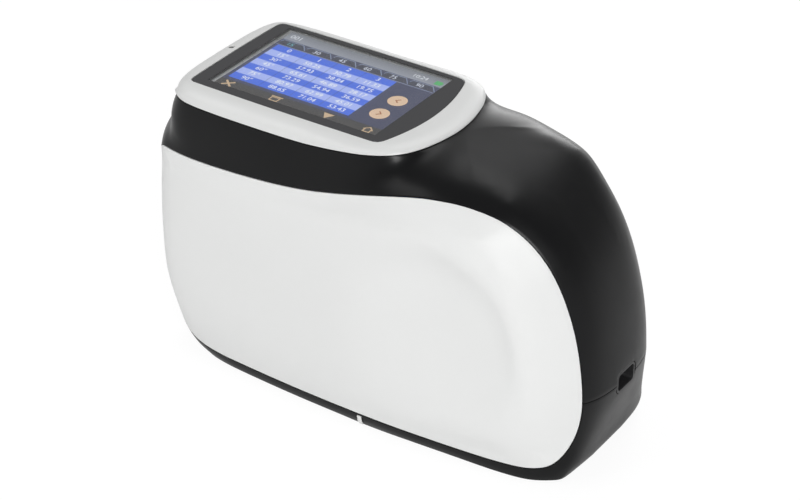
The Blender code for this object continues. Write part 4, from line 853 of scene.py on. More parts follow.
def placed_copy(piece: bpy.types.Object, shift: Vector, name: str) -> bpy.types.Object:
    """Copy a finished piece with its own mesh, moved by a shift.

    Args:
        piece: The piece, before it rides on a body.
        shift: How far the copy stands from it.
        name: Name of the copy.

    Returns:
        The copy.
    """
    only(piece)
    bpy.ops.object.duplicate(linked=False)
    bpy.ops.transform.translate(value=shift)
    return named(name)


def joined(pieces: Sequence[bpy.types.Object], name: str) -> bpy.types.Object:
    """Join pieces into one object.

    Args:
        pieces: The pieces.
        name: Name of the result.

    Returns:
        The joined object.
    """
    only(*pieces)
    if len(pieces) > 1:
        bpy.ops.object.join()
    return named(name)


# The instrument


@dataclass
class Case:
    """The two black shells and the white marks on them.

    Attributes:
        finishes: Finishes of the instrument.
        levels: How often the skins are subdivided.
        edge: Rounding of the shells' edges.
    """

    finishes: Finishes
    levels: int = 2
    edge: float = 0.18 * MM

    def build(self) -> None:
        """Make the shells and dress the marks."""
        for node in ("top_shell", "base_shell"):
            shell = swept(node, node + "_skin", self.levels, self.edge)
            settle(shell, self.finishes.case, nodes=(node,))
        carry("position_mark_near", self.finishes.mark)
        carry("position_mark_far", self.finishes.mark)


@dataclass
class SideCovers:
    """The two white side panels.

    Attributes:
        finishes: Finishes of the instrument.
        levels: How often the skins are subdivided.
        edge: Rounding of the panels' edges.
        middle: Place of the near recess's middle along x and z.
        reach: Half the recess's length and half its height.
        floor: Share of that reach inside which the recess is even.
        wall: Power by which its wall steepens from that floor to the rim.
        drop: How far the recess sinks below its rim.
        fade_x: Where the rim begins and where it is full, along x.
        fade_z: Where the rim begins and where it is full, along z.
    """

    finishes: Finishes
    levels: int = 2
    edge: float = 0.25 * MM
    middle: tuple[float, float] = (35.9 * MM, 50.0 * MM)
    reach: tuple[float, float] = (34.0 * MM, 37.0 * MM)
    floor: float = 0.35
    wall: int = 3
    drop: float = 1.4 * MM
    fade_x: tuple[float, float] = (-2.1 * MM, 44.0 * MM)
    fade_z: tuple[float, float] = (8.0 * MM, 48.0 * MM)

    def build(self) -> None:
        """Make both panels."""
        near = swept("near_side_panel", "near_side_panel_skin", self.levels, self.edge)
        self.sink_recess(near)
        far = swept("far_side_panel", "far_side_panel_skin", self.levels, self.edge)
        for cover, node in ((near, "near_side_panel"), (far, "far_side_panel")):
            settle(cover, self.finishes.panel, nodes=(node,))

    def sink_recess(self, cover: bpy.types.Object) -> None:
        """Sink the near panel's thumb recess below its rim.

        Args:
            cover: The panel.
        """
        group = cover.vertex_groups.new(name="recess")
        for vertex in cover.data.vertices:
            x, _, z = vertex.co
            across = math.hypot((x - self.middle[0]) / self.reach[0],
                                (z - self.middle[1]) / self.reach[1])
            rise = eased(across, (self.floor, 1.0), False) ** self.wall
            weight = (1.0 - rise) * eased(x, self.fade_x) * eased(z, self.fade_z)
            group.add([vertex.index], weight, "REPLACE")
        apply(cover, "DISPLACE", direction="Y", strength=self.drop, mid_level=0.0,
              vertex_group=group.name)
        smooth(cover)


def carry(node: str, finish: bpy.types.Material) -> None:
    """Give a CAD node that stays a better material.

    Args:
        node: Name of the node.
        finish: The material.
    """
    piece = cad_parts[node]
    for place in range(len(piece.material_slots)):
        piece.material_slots[place].material = finish
    LOG.info("%s: the CAD node stays, in %s", node, finish.name)


class Layer(float, Enum):
    """Heights of the picture's layers over the display's face, in metres."""

    GROUND = 0.02 * MM
    FIELD = 0.05 * MM
    LINE = 0.08 * MM
    SIGN = 0.11 * MM


@dataclass
class Picture:
    """What the lit display shows: a header, tabs, a table, two keys and a row of icons.

    Places and sizes are in millimetres from the middle of the lit area, unless a line says metres.

    Attributes:
        middle: Middle of the lit area, on the display's face, in metres.
        half: Half the lit area's width and half its depth.
        thick: Thickness of each layer, in metres.
        round_points: Points round a round plate.
        letter_size: Font size that gives numbers of height 1.
        header_near: Near edge of the header.
        charge: Left and right, then near and far edges of the charge sign and of its tip.
        tab_edges: Edges of the tabs.
        tab_near: Near edge of the tabs.
        tab_far: Far edge of the tabs.
        tab_slope: How far a tab's slanting right edge runs across the display.
        tab_line: Width of the line round a tab.
        tab_sign: Height of a tab's number over the tab's near edge, and the number's size.
        rule: Left and right, then near and far edges of the line under the tabs.
        columns: Edges of the table's columns.
        table_far: Far edge of the table.
        table_near: Near edge of the table.
        rows: Rows of the table.
        gaps: Gaps at the left and the right edge of a cell.
        digit: Height of the table's numbers.
        readings: First reading, then what each row, each column and both together add.
        key_x: Middle of both round keys.
        key_rows: Middle of each key, and the side that its arrow points to.
        key_radius: Radius of a key.
        key_rim: Radius of its rim.
        arrow: Half the width and half the depth of an arrow.
        arrow_line: Width of an arrow's lines.
        bar_far: Far edge of the bar that holds the icons.
        icon_y: Middle of the icons.
        strokes: Width of the icons' bold, common and fine lines.
        clock: Text, place and size of the numbers in the header.
    """

    middle: Vector
    half: tuple[float, float] = (36.7, 24.45)
    thick: float = 0.015 * MM
    round_points: int = 40
    letter_size: float = 1.4
    header_near: float = 18.1
    charge: tuple[tuple[tuple[float, float], tuple[float, float]], ...] = (
        ((31.4, 34.2), (19.2, 22.0)), ((34.2, 34.7), (19.9, 21.3)))
    tab_edges: tuple[float, ...] = (-36.0, -23.6, -11.2, 0.2, 11.8, 23.4, 35.2)
    tab_near: float = 13.6
    tab_far: float = 17.5
    tab_slope: float = 2.6
    tab_line: float = 0.35
    tab_sign: tuple[float, float] = (1.8, 2.3)
    rule: tuple[tuple[float, float], tuple[float, float]] = ((-36.2, 35.6), (13.15, 13.6))
    columns: tuple[float, ...] = (-35.2, -21.3, -7.2, 5.9, 19.5)
    table_far: float = 13.1
    table_near: float = -17.3
    rows: int = 7
    gaps: tuple[float, float] = (0.1, 0.05)
    digit: float = 2.4
    readings: tuple[float, float, float, float] = (62.4, 7.31, -19.83, 0.37)
    key_x: float = 27.9
    key_rows: tuple[tuple[float, float], ...] = ((1.4, -1.0), (-9.9, 1.0))
    key_radius: float = 3.35
    key_rim: float = 3.75
    arrow: tuple[float, float] = (0.6, 1.1)
    arrow_line: float = 0.55
    bar_far: float = -19.1
    icon_y: float = -21.7
    strokes: tuple[float, float, float] = (0.8, 0.5, 0.45)
    clock: tuple[tuple[str, float, float, float], ...] = (("001", -32.2, 21.0, 2.6),
                                                          ("10:24", 24.6, 20.9, 2.2))

    def plate(self, x: tuple[float, float], y: tuple[float, float],
              layer: Layer) -> bpy.types.Object:
        """Add a thin plate of the picture.

        Args:
            x: Its left and right edges.
            y: Its near and far edges.
            layer: Its layer.

        Returns:
            The plate.
        """
        return self.outline([(x[0], y[0]), (x[1], y[0]), (x[1], y[1]), (x[0], y[1])], layer)

    def outline(self, points: Sequence[tuple[float, float]], layer: Layer) -> bpy.types.Object:
        """Add a thin plate with any outline.

        Args:
            points: Its corners.
            layer: Its layer.

        Returns:
            The plate.
        """
        bpy.ops.object.select_all(action="DESELECT")
        bpy.ops.mesh.primitive_circle_add(vertices=len(points), radius=MM, fill_type="NGON",
                                          location=self.middle + Vector((0.0, 0.0, layer.value)))
        plate = bpy.context.active_object
        for vertex, (x, y) in zip(plate.data.vertices, points):
            vertex.co = Vector((x * MM, y * MM, 0.0))
        with editing(plate):
            bpy.ops.mesh.normals_make_consistent(inside=False)
            bpy.ops.mesh.extrude_region_move(
                TRANSFORM_OT_translate={"value": (0.0, 0.0, self.thick)})
            bpy.ops.mesh.select_all(action="SELECT")
            bpy.ops.mesh.normals_make_consistent(inside=False)
        return named("plate")

    def round(self, x: float, y: float, radius: float, layer: Layer) -> bpy.types.Object:
        """Add a thin round plate.

        Args:
            x: Its middle across the display.
            y: Its middle from near to far.
            radius: Its radius.
            layer: Its layer.

        Returns:
            The plate.
        """
        turns = [math.tau * k / self.round_points for k in range(self.round_points)]
        points = [(x + radius * math.cos(turn), y + radius * math.sin(turn)) for turn in turns]
        return self.outline(points, layer)

    def words(self, text: str, x: float, y: float, size: float) -> bpy.types.Object:
        """Add plain numbers.

        Args:
            text: The numbers.
            x: Their middle across the display.
            y: Their middle from near to far.
            size: Their height.

        Returns:
            The numbers as a mesh.
        """
        place = self.middle + Vector((x * MM, y * MM, Layer.SIGN.value))
        bpy.ops.object.select_all(action="DESELECT")
        bpy.ops.object.text_add(location=place)
        letters = bpy.context.active_object
        letters.data.body = text
        letters.data.size = size * self.letter_size * MM
        letters.data.align_x = "CENTER"
        letters.data.align_y = "CENTER"
        letters.data.resolution_u = 3
        letters.data.extrude = self.thick / 2
        only(letters)
        bpy.ops.object.convert(target="MESH")
        return named("words")

    def line(self, points: Sequence[tuple[float, float]], width: float,
             layer: Layer) -> list[bpy.types.Object]:
        """Add a line of straight plates.

        Args:
            points: Its corners.
            width: Its width.
            layer: Its layer.

        Returns:
            The plates.
        """
        plates = []
        for (x_a, y_a), (x_b, y_b) in zip(points, points[1:]):
            length = math.hypot(x_b - x_a, y_b - y_a)
            dx, dy = (x_b - x_a) / length * width / 2, (y_b - y_a) / length * width / 2
            corners = [(x_a - dx + dy, y_a - dy - dx), (x_b + dx + dy, y_b + dy - dx),
                       (x_b + dx - dy, y_b + dy + dx), (x_a - dx - dy, y_a - dy + dx)]
            plates.append(self.outline(corners, layer))
        return plates

    def finish_group(self, pieces: Sequence[bpy.types.Object], name: str, colour: Colour,
                     fade: Colour | None = None,
                     edges: tuple[float, float] = (0.0, 1.0)) -> bpy.types.Object:
        """Join the plates of one colour and light them.

        Args:
            pieces: The plates.
            name: Name of the group.
            colour: Colour of its light.
            fade: Colour at the far edge of a gradient.
            edges: Near and far edges of the gradient.

        Returns:
            The group.
        """
        group = joined(pieces, name)
        span = tuple(self.middle.y + y * MM for y in edges)
        light = Lit(name + "_light", colour, fade, span).material()
        return settle(group, light)

    def build(self) -> None:
        """Make the whole picture."""
        half_x, half_y = self.half
        header = (self.header_near, half_y)
        self.finish_group([self.plate((-half_x, half_x), (-half_y, half_y), Layer.GROUND)],
                          "picture_ground", linear(36, 44, 82))
        self.finish_group([self.plate((-half_x, half_x), header, Layer.FIELD)],
                          "picture_header", linear(142, 147, 160), linear(112, 116, 124), header)
        self.tabs()
        self.table()
        self.keys()
        self.icons()

    def tabs(self) -> None:
        """Make the row of tabs under the header."""
        fields, lines, signs, chosen = [], [], [], []
        near, far = self.tab_near, self.tab_far
        for k, (left, right) in enumerate(zip(self.tab_edges, self.tab_edges[1:])):
            slope = right - self.tab_slope
            shape = [(left, near), (left, far - 1.3), (left + 0.7, far), (slope, far),
                     (right, near + 0.6), (right, near)]
            fields.append(self.outline(shape, Layer.FIELD))
            lines += self.line(shape[1:5], self.tab_line, Layer.LINE)
            sign = self.words(f"{15 * (k + 1)}", (left + slope) / 2, near + self.tab_sign[0],
                              self.tab_sign[1])
            (chosen if k == 0 else signs).append(sign)
        self.finish_group(fields, "picture_tabs", linear(26, 32, 58))
        self.finish_group(lines, "picture_tab_edges", linear(126, 140, 170))
        self.finish_group(signs, "picture_tab_signs", linear(214, 220, 236))
        self.finish_group(chosen, "picture_chosen_tab_sign", linear(96, 176, 190))
        rule = self.plate(*self.rule, Layer.LINE)
        self.finish_group([rule], "picture_rule", linear(120, 130, 160))

    def number(self, row: int, column: int) -> str:
        """Say what a cell holds: a heading in the first row and column, or a made-up reading.

        Args:
            row: Row of the cell.
            column: Column of the cell.

        Returns:
            The number as text.
        """
        if row == 0:
            return str(column)
        if column == 0:
            return f"{row * 15}°"
        first, down, across, both = self.readings
        return f"{abs(first + down * row + across * column + both * row * column):.2f}"

    def table(self) -> None:
        """Make the table with its numbers."""
        pitch = (self.table_far - self.table_near) / self.rows
        blue, pale, digits = [], [], []
        for row in range(self.rows):
            far = self.table_far - row * pitch
            for column, (left, right) in enumerate(zip(self.columns, self.columns[1:])):
                cell = self.plate((left + self.gaps[0], right - self.gaps[1]),
                                  (far - pitch, far), Layer.FIELD)
                (pale if row % 2 else blue).append(cell)
                digits.append(self.words(self.number(row, column), (left + right) / 2,
                                         far - pitch / 2, self.digit))
        self.finish_group(blue, "picture_rows", linear(44, 100, 226))
        self.finish_group(pale, "picture_pale_rows", linear(164, 182, 248))
        self.finish_group(digits, "picture_numbers", linear(244, 248, 255))

    def keys(self) -> None:
        """Make the two round keys with their arrows."""
        x, (reach, rise) = self.key_x, self.arrow
        discs, rings, arrows = [], [], []
        for y, side in self.key_rows:
            rings.append(self.round(x, y, self.key_rim, Layer.FIELD))
            discs.append(self.round(x, y, self.key_radius, Layer.LINE))
            tail, tip = x - reach * side, x + reach * side
            arrows += self.line([(tail, y + rise), (tip, y), (tail, y - rise)],
                                self.arrow_line, Layer.SIGN)
        self.finish_group(rings, "picture_key_rims", linear(232, 196, 158))
        self.finish_group(discs, "picture_keys", linear(222, 190, 158))
        self.finish_group(arrows, "picture_key_arrows", linear(160, 92, 40))

    def icons(self) -> None:
        """Make the row of icons along the near edge, and the header's small signs."""
        half_x, half_y = self.half
        self.finish_group([self.plate((-half_x, half_x), (-half_y, self.bar_far), Layer.FIELD)],
                          "picture_bar", linear(36, 34, 33))
        y = self.icon_y
        cross = [[(-31.6 - 1.7 * turn, y - 1.5), (-31.6 + 1.7 * turn, y + 1.5)]
                 for turn in (-1.0, 1.0)]
        basket = [(-11.7, y - 1.6), (-11.9, y + 0.8), (-8.3, y + 0.8), (-8.5, y - 1.6),
                  (-11.7, y - 1.6)]
        basket_rim = [(-12.4, y + 1.5), (-7.8, y + 1.5)]
        pointer = [(10.9, y + 1.7), (13.1, y - 1.9), (15.5, y + 1.7)]
        roof = [(29.4, y), (31.2, y + 1.7), (33.0, y)]
        walls = [(29.9, y), (29.9, y - 1.7), (32.5, y - 1.7), (32.5, y)]
        bold, common, fine = self.strokes
        gold = []
        for points, width in ((cross[0], bold), (cross[1], bold), (basket, fine),
                              (basket_rim, common)):
            gold += self.line(points, width, Layer.LINE)
        gold.append(self.outline(pointer, Layer.LINE))
        for points in (roof, walls):
            gold += self.line(points, common, Layer.LINE)
        self.finish_group(gold, "picture_icons", linear(206, 176, 140))
        cell = [self.plate(*edges, Layer.LINE) for edges in self.charge]
        self.finish_group(cell, "picture_charge", linear(58, 172, 92))
        clock = [self.words(*entry) for entry in self.clock]
        self.finish_group(clock, "picture_header_numbers", linear(222, 226, 234))


@dataclass
class ScreenHead:
    """The bezel, the cover glass, the display behind it and its light.

    Attributes:
        finishes: Finishes of the instrument.
        screen_x: Middle of the screen along the instrument.
        window: Width and depth of the clear window in the glass.
        window_shift: How far the window lies from the glass's middle line.
        lit_shift: How far the lit area lies from the window's middle.
        edge: Rounding of the glass's edge.
        flat_rim: Width of the flat band inside that rounding.
        bezel_levels: How often the bezel's skin is subdivided.
        bezel_edge: Rounding of the bezel's edges.
        rim_edge: Rounding of the display's metal rim.
        sunk: How far the display's face is lowered, to make room for the picture.
        lens_steps: Width and rise of each step in the indicator's lens.
    """

    finishes: Finishes
    screen_x: float = -33.26 * MM
    window: tuple[float, float] = (75.0 * MM, 50.0 * MM)
    window_shift: tuple[float, float] = (-1.4 * MM, 1.1 * MM)
    lit_shift: tuple[float, float] = (1.3 * MM, -0.39 * MM)
    edge: float = 0.25 * MM
    flat_rim: float = 0.3 * MM
    bezel_levels: int = 2
    bezel_edge: float = 0.2 * MM
    rim_edge: float = 0.3 * MM
    sunk: float = 0.02 * MM
    lens_steps: Steps = ((0.35 * MM, -0.12 * MM), (0.3 * MM, -0.08 * MM))

    def build(self) -> None:
        """Make the head's visible pieces."""
        bezel = swept("screen_bezel", "screen_bezel_frame", self.bezel_levels, self.bezel_edge)
        settle(bezel, self.finishes.bezel, nodes=("screen_bezel",))
        self.glass()
        self.display()
        self.light_pipe()

    def window_edges(self) -> tuple[float, float, float, float]:
        """Left, right, near and far edges of the clear window."""
        x, y = self.screen_x + self.window_shift[0], self.window_shift[1]
        return (x - self.window[0] / 2, x + self.window[0] / 2,
                y - self.window[1] / 2, y + self.window[1] / 2)

    def glass(self) -> None:
        """Make the cover glass, with ink round its clear window."""
        glass = bevelled(copied("touch_glass", "cover_glass"), self.edge, 3)
        left, right, near, far = self.window_edges()
        with editing(glass):
            pick(glass, "faces", lambda face: face.normal.z > 0.999)
            bpy.ops.mesh.inset(thickness=self.flat_rim, depth=0.0)
            for point, across in (((left, 0, 0), (1, 0, 0)), ((right, 0, 0), (1, 0, 0)),
                                  ((0, near, 0), (0, 1, 0)), ((0, far, 0), (0, 1, 0))):
                bpy.ops.mesh.select_all(action="SELECT")
                bpy.ops.mesh.bisect(plane_co=point, plane_no=across)
        glass.data.materials.append(self.finishes.ink)
        glass.data.materials.append(self.finishes.window)
        for face in glass.data.polygons:
            x, y, _ = face.center
            face.material_index = int(left < x < right and near < y < far)
        smooth(glass)
        settle(glass, self.finishes.ink, nodes=("touch_glass",))

    def display(self) -> None:
        """Make the display's metal rim, and the picture on it."""
        low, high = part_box("lcd_module")
        left, right, near, far = self.window_edges()
        middle = Vector(((left + right) / 2 + self.lit_shift[0],
                         (near + far) / 2 + self.lit_shift[1], high.z))
        rim = slab(low, Vector((high.x, high.y, high.z - self.sunk)), "display_rim")
        # The rim's metal finish glows faintly: painted light under the cover glass.
        settle(bevelled(rim, self.rim_edge), self.finishes.frame,
               nodes=("lcd_module",))
        Picture(middle - Vector((0.0, 0.0, self.sunk))).build()

    def light_pipe(self) -> None:
        """Make the indicator's small lens."""
        lens = disc(*standing("indicator_light_pipe"), "indicator_lens", 48)
        stepped(lens, 1.0, self.lens_steps)
        smooth(lens, 50.0)
        settle(lens, self.finishes.smoked, nodes=("indicator_light_pipe",))


@dataclass
class DataPort:
    """The port in the rounded end: its dark frame, the socket and the tongue.

    Attributes:
        finishes: Finishes of the instrument.
        contacts: Number of contacts on the tongue.
        margin: Free width beside the outer contacts, as a share of their pitch.
        strip_width: Width of a contact.
        strip_back: Distance of a contact from the tongue's back end.
        strip_front: Distance of a contact from the tongue's front end.
        strip_sunk: Depth of a contact in the tongue.
        strip_proud: Height of a contact over the tongue.
        strip_edge: Rounding of a contact's edges.
    """

    finishes: Finishes
    contacts: int = 5
    margin: float = 0.3
    strip_width: float = 0.5 * MM
    strip_back: float = 2.0 * MM
    strip_front: float = 0.4 * MM
    strip_sunk: float = 0.05 * MM
    strip_proud: float = 0.06 * MM
    strip_edge: float = 0.03 * MM

    def build(self) -> None:
        """Make the port's pieces."""
        for node, name, edge, segments, finish, slot in (
                ("usb_port_frame", "port_frame", 0.25 * MM, 3, self.finishes.dark, Slot.DARK),
                ("usb_socket", "port_socket", 0.12 * MM, 2, self.finishes.steel, Slot.STEEL),
                ("usb_tongue", "port_tongue", 0.12 * MM, 2, self.finishes.dark, Slot.DARK)):
            settle(bevelled(copied(node, name), edge, segments), finish, nodes=(node,))
        low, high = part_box("usb_tongue")
        pitch = (high.y - low.y) / (self.contacts + 2 * self.margin)
        strips = []
        for k in range(self.contacts):
            y = low.y + pitch * (k + 0.5 + self.margin)
            start = Vector((low.x + self.strip_back, y - self.strip_width / 2,
                            high.z - self.strip_sunk))
            end = Vector((high.x - self.strip_front, y + self.strip_width / 2,
                          high.z + self.strip_proud))
            strips.append(slab(start, end, "contact"))
        strip = bevelled(joined(strips, "port_contacts"), self.strip_edge)
        settle(strip, self.finishes.gold)


@dataclass
class Underside:
    """The measuring foot with its clear disc, the rubber feet and the case screws.

    Attributes:
        finishes: Finishes of the instrument.
        tube_radius: Outer radius of the measuring tube.
        bore_radius: Radius of its bore.
        plate_thickness: Thickness of the foot's plate.
        plate_corner: Rounding of the plate's corners.
        plate_edge: Rounding of the plate's and the tube's edges.
        window_edge: Rounding of the clear disc's edges.
        small_edge: Rounding of the edges of the feet and the screws.
        corners: Number of rubber feet, and of case screws.
        groove_steps: Width and rise of each step of the groove in a rubber foot.
        head_height: Height of a screw's head.
        shank_radius: Radius of a screw's shank.
        cross: Half length, half width and depth of a screw's cross recess.
    """

    finishes: Finishes
    tube_radius: float = 7.2 * MM
    bore_radius: float = 5.5 * MM
    plate_thickness: float = 1.4 * MM
    plate_corner: float = 2.0 * MM
    plate_edge: float = 0.3 * MM
    window_edge: float = 0.15 * MM
    small_edge: float = 0.12 * MM
    corners: int = 4
    groove_steps: Steps = ((0.9 * MM, 0.0), (0.25 * MM, -0.35 * MM), (0.35 * MM, 0.0),
                           (0.25 * MM, 0.35 * MM))
    head_height: float = 1.5 * MM
    shank_radius: float = 1.3 * MM
    cross: tuple[float, float, float] = (1.7 * MM, 0.35 * MM, 0.9 * MM)

    def build(self) -> None:
        """Make every piece under the case."""
        self.measuring_foot()
        self.window()
        self.feet()
        self.screws()

    def measuring_foot(self) -> None:
        """Make the plate with its tube and a countersunk bore."""
        low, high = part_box("aperture_plate")
        spot = Vector(((low.x + high.x) / 2, 0.0, 0.0))
        plate = slab(low, Vector((high.x, high.y, low.z + self.plate_thickness)), "measuring_foot")
        with editing(plate, "EDGE"):
            pick(plate, "edges", lambda e: abs((e.verts[0].co - e.verts[1].co).z) > MM)
            bpy.ops.mesh.bevel(offset=self.plate_corner, segments=8)
        cut(plate, disc(spot, self.tube_radius, high.z, "tube"), "UNION")
        cut(plate, disc(spot - Vector((0, 0, MM)), self.bore_radius, high.z + 2 * MM, "bore"))
        bevelled(plate, self.plate_edge, 3)
        settle(plate, self.finishes.anodised, nodes=("aperture_plate",))

    def window(self) -> None:
        """Make the clear disc over the bore."""
        glass = disc(*standing("aperture_window"), "bore_window")
        bevelled(glass, self.window_edge)
        settle(glass, self.finishes.lens, nodes=("aperture_window",))

    def feet(self) -> None:
        """Make one rubber foot with a groove and copy it."""
        foot = disc(*standing("rubber_foot_1"), "foot_pad_1")
        stepped(foot, -1.0, self.groove_steps)
        bevelled(foot, self.small_edge)
        self.repeat(foot, "foot_pad", "rubber_foot", self.finishes.foot)

    def screws(self) -> None:
        """Make one case screw with a cross recess and copy it."""
        centre, radius, height = standing("base_screw_1")
        screw = disc(centre, radius, self.head_height, "case_screw_1")
        cut(screw, disc(centre + Vector((0, 0, MM)), self.shank_radius, height - MM, "shank", 32),
            "UNION")
        arm, half_width, deep = self.cross
        for half in (Vector((arm, half_width, deep)), Vector((half_width, arm, deep))):
            cut(screw, slab(centre - half, centre + half, "cross"))
        bevelled(screw, self.small_edge)
        self.repeat(screw, "case_screw", "base_screw", self.finishes.steel)

    def repeat(self, piece: bpy.types.Object, name: str, node: str,
               finish: bpy.types.Material) -> None:
        """Copy a finished piece to every CAD node of its kind and settle them all.

        Args:
            piece: The piece, in its place at the first node.
            name: Name of the pieces without their number.
            node: Name of the nodes without their number.
            finish: Their material.
        """
        start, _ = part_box(f"{node}_1")
        pieces = [piece]
        for k in range(2, self.corners + 1):
            low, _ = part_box(f"{node}_{k}")
            pieces.append(placed_copy(piece, low - start, f"{name}_{k}"))
        for k, made in enumerate(pieces, 1):
            settle(made, finish, nodes=(f"{node}_{k}",))


@dataclass
class Keys:
    """The two keys that move: measuring in the far panel, power in the left end.

    Attributes:
        finishes: Finishes of the instrument.
        edge: Rounding of the measuring key's edge.
        cap_radius: Radius of the power key's cap.
        cap_edge: Bevel of that cap.
        flange: How far the power key's flange stands out.
        flange_near: Depth of the flange behind the face.
        flange_far: Depth of the flange's back.
        stem_radius: Radius of the power key's stem.
        sign_radius: Radius of the ring in its face.
        sign_line: Width of the lines in its face.
        gap_width: Half the gap in the ring, in widths of its line.
        gap_span: Lower and upper end of that gap, as shares of the ring's radius.
        bar_span: Lower and upper end of the bar, as shares of the ring's radius.
        sign_edge: Rounding of the power key's edges, its sign's too.
    """

    finishes: Finishes
    edge: float = 0.3 * MM
    cap_radius: float = 4.5 * MM
    cap_edge: float = 0.4 * MM
    flange: float = 1.0 * MM
    flange_near: float = 2.2 * MM
    flange_far: float = 3.2 * MM
    stem_radius: float = 2.0 * MM
    sign_radius: float = 2.0 * MM
    sign_line: float = 0.4 * MM
    gap_width: float = 1.6
    gap_span: tuple[float, float] = (0.5, 1.5)
    bar_span: tuple[float, float] = (0.35, 1.15)
    sign_edge: float = 0.05 * MM

    def build(self) -> None:
        """Make both keys."""
        key = bevelled(copied("measure_button", "measure_key"), self.edge, 3, 42.0)
        settle(key, self.finishes.grey, Body.MEASURE, ("measure_button",))
        self.power_key()

    def power_key(self) -> None:
        """Make the round key, with a ring and a bar pressed into its face."""
        low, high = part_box("power_button")
        middle = (low + high) / 2
        face = Vector((low.x, middle.y, middle.z))
        radius = self.cap_radius
        steps = ((radius - self.cap_edge, 0.0), (radius, self.cap_edge), (radius, self.flange_near),
                 (radius + self.flange, self.flange_near), (radius + self.flange, self.flange_far),
                 (self.stem_radius, self.flange_far), (self.stem_radius, high.x - low.x))
        bpy.ops.object.select_all(action="DESELECT")
        bpy.ops.mesh.primitive_circle_add(vertices=64, radius=steps[0][0], fill_type="NGON")
        key = bpy.context.active_object
        with editing(key):
            for (now, start), (wide, end) in zip(steps, steps[1:]):
                bpy.ops.mesh.extrude_region_move(
                    TRANSFORM_OT_translate={"value": (0.0, 0.0, start - end)})
                bpy.ops.transform.resize(value=(wide / now, wide / now, 1.0))
        turn = Matrix.Rotation(math.radians(-90.0), 4, "Y")
        key.matrix_world = Matrix.Translation(face) @ turn
        key = named("power_key")
        with editing(key, "VERT"):
            bpy.ops.mesh.remove_doubles(threshold=1e-6)
            bpy.ops.mesh.normals_make_consistent(inside=False)
        self.power_sign(key, face)
        bevelled(key, self.sign_edge)
        settle(key, self.finishes.grey, Body.POWER, ("power_button",))

    def power_sign(self, key: bpy.types.Object, face: Vector) -> None:
        """Press an open ring and a bar into the round key.

        Args:
            key: The key.
            face: Middle of its face.
        """
        line, ring = self.sign_line, self.sign_radius
        bpy.ops.object.select_all(action="DESELECT")
        bpy.ops.mesh.primitive_torus_add(location=face, rotation=(0.0, math.pi / 2, 0.0),
                                         major_radius=ring, minor_radius=line / 2,
                                         major_segments=48, minor_segments=8)
        sign = named("sign_ring")
        half_gap = self.gap_width * line
        cut(sign, slab(face + Vector((-MM, -half_gap, ring * self.gap_span[0])),
                       face + Vector((MM, half_gap, ring * self.gap_span[1])), "sign_gap"))
        cut(key, sign)
        cut(key, slab(face + Vector((-MM, -line / 2, ring * self.bar_span[0])),
                      face + Vector((line / 2, line / 2, ring * self.bar_span[1])), "sign_bar"))


class Inside:
    """Pieces inside the case that stay CAD nodes."""

    def __init__(self, finishes: Finishes) -> None:
        """Sort the nodes by finish.

        Args:
            finishes: Finishes of the instrument.
        """
        barrels = tuple(f"detector_barrel_{k}" for k in range(1, 7))
        self.dressed: tuple[tuple[bpy.types.Material, tuple[str, ...]], ...] = (
            (finishes.alloy, ("chassis_plate", "optics_frame")),
            (finishes.dark, (*barrels, "lamp_housing", "battery_tray", "measure_switch",
                             "power_switch")),
            (finishes.lens, ("lamp_lens",)),
            (finishes.board, ("sensor_board", "main_board", "switch_board", "power_board",
                              "usb_board", "display_board")),
            (finishes.chip, ("processor_chip", "buzzer")),
            (finishes.brass, ("board_spacer_1", "board_spacer_2")),
            (finishes.steel, ("display_bracket", "usb_bracket", "power_bracket", "optics_screw_1",
                              "optics_screw_2",
                              *(f"display_screw_{k}" for k in range(1, 5)))),
            (finishes.cable, ("display_ribbon",)),
            (finishes.sleeve, ("battery_pack",)),
            (finishes.foot, ("battery_strap",)),
        )

    def build(self) -> None:
        """Dress every node."""
        for finish, nodes in self.dressed:
            for node in nodes:
                carry(node, finish)


# Studio


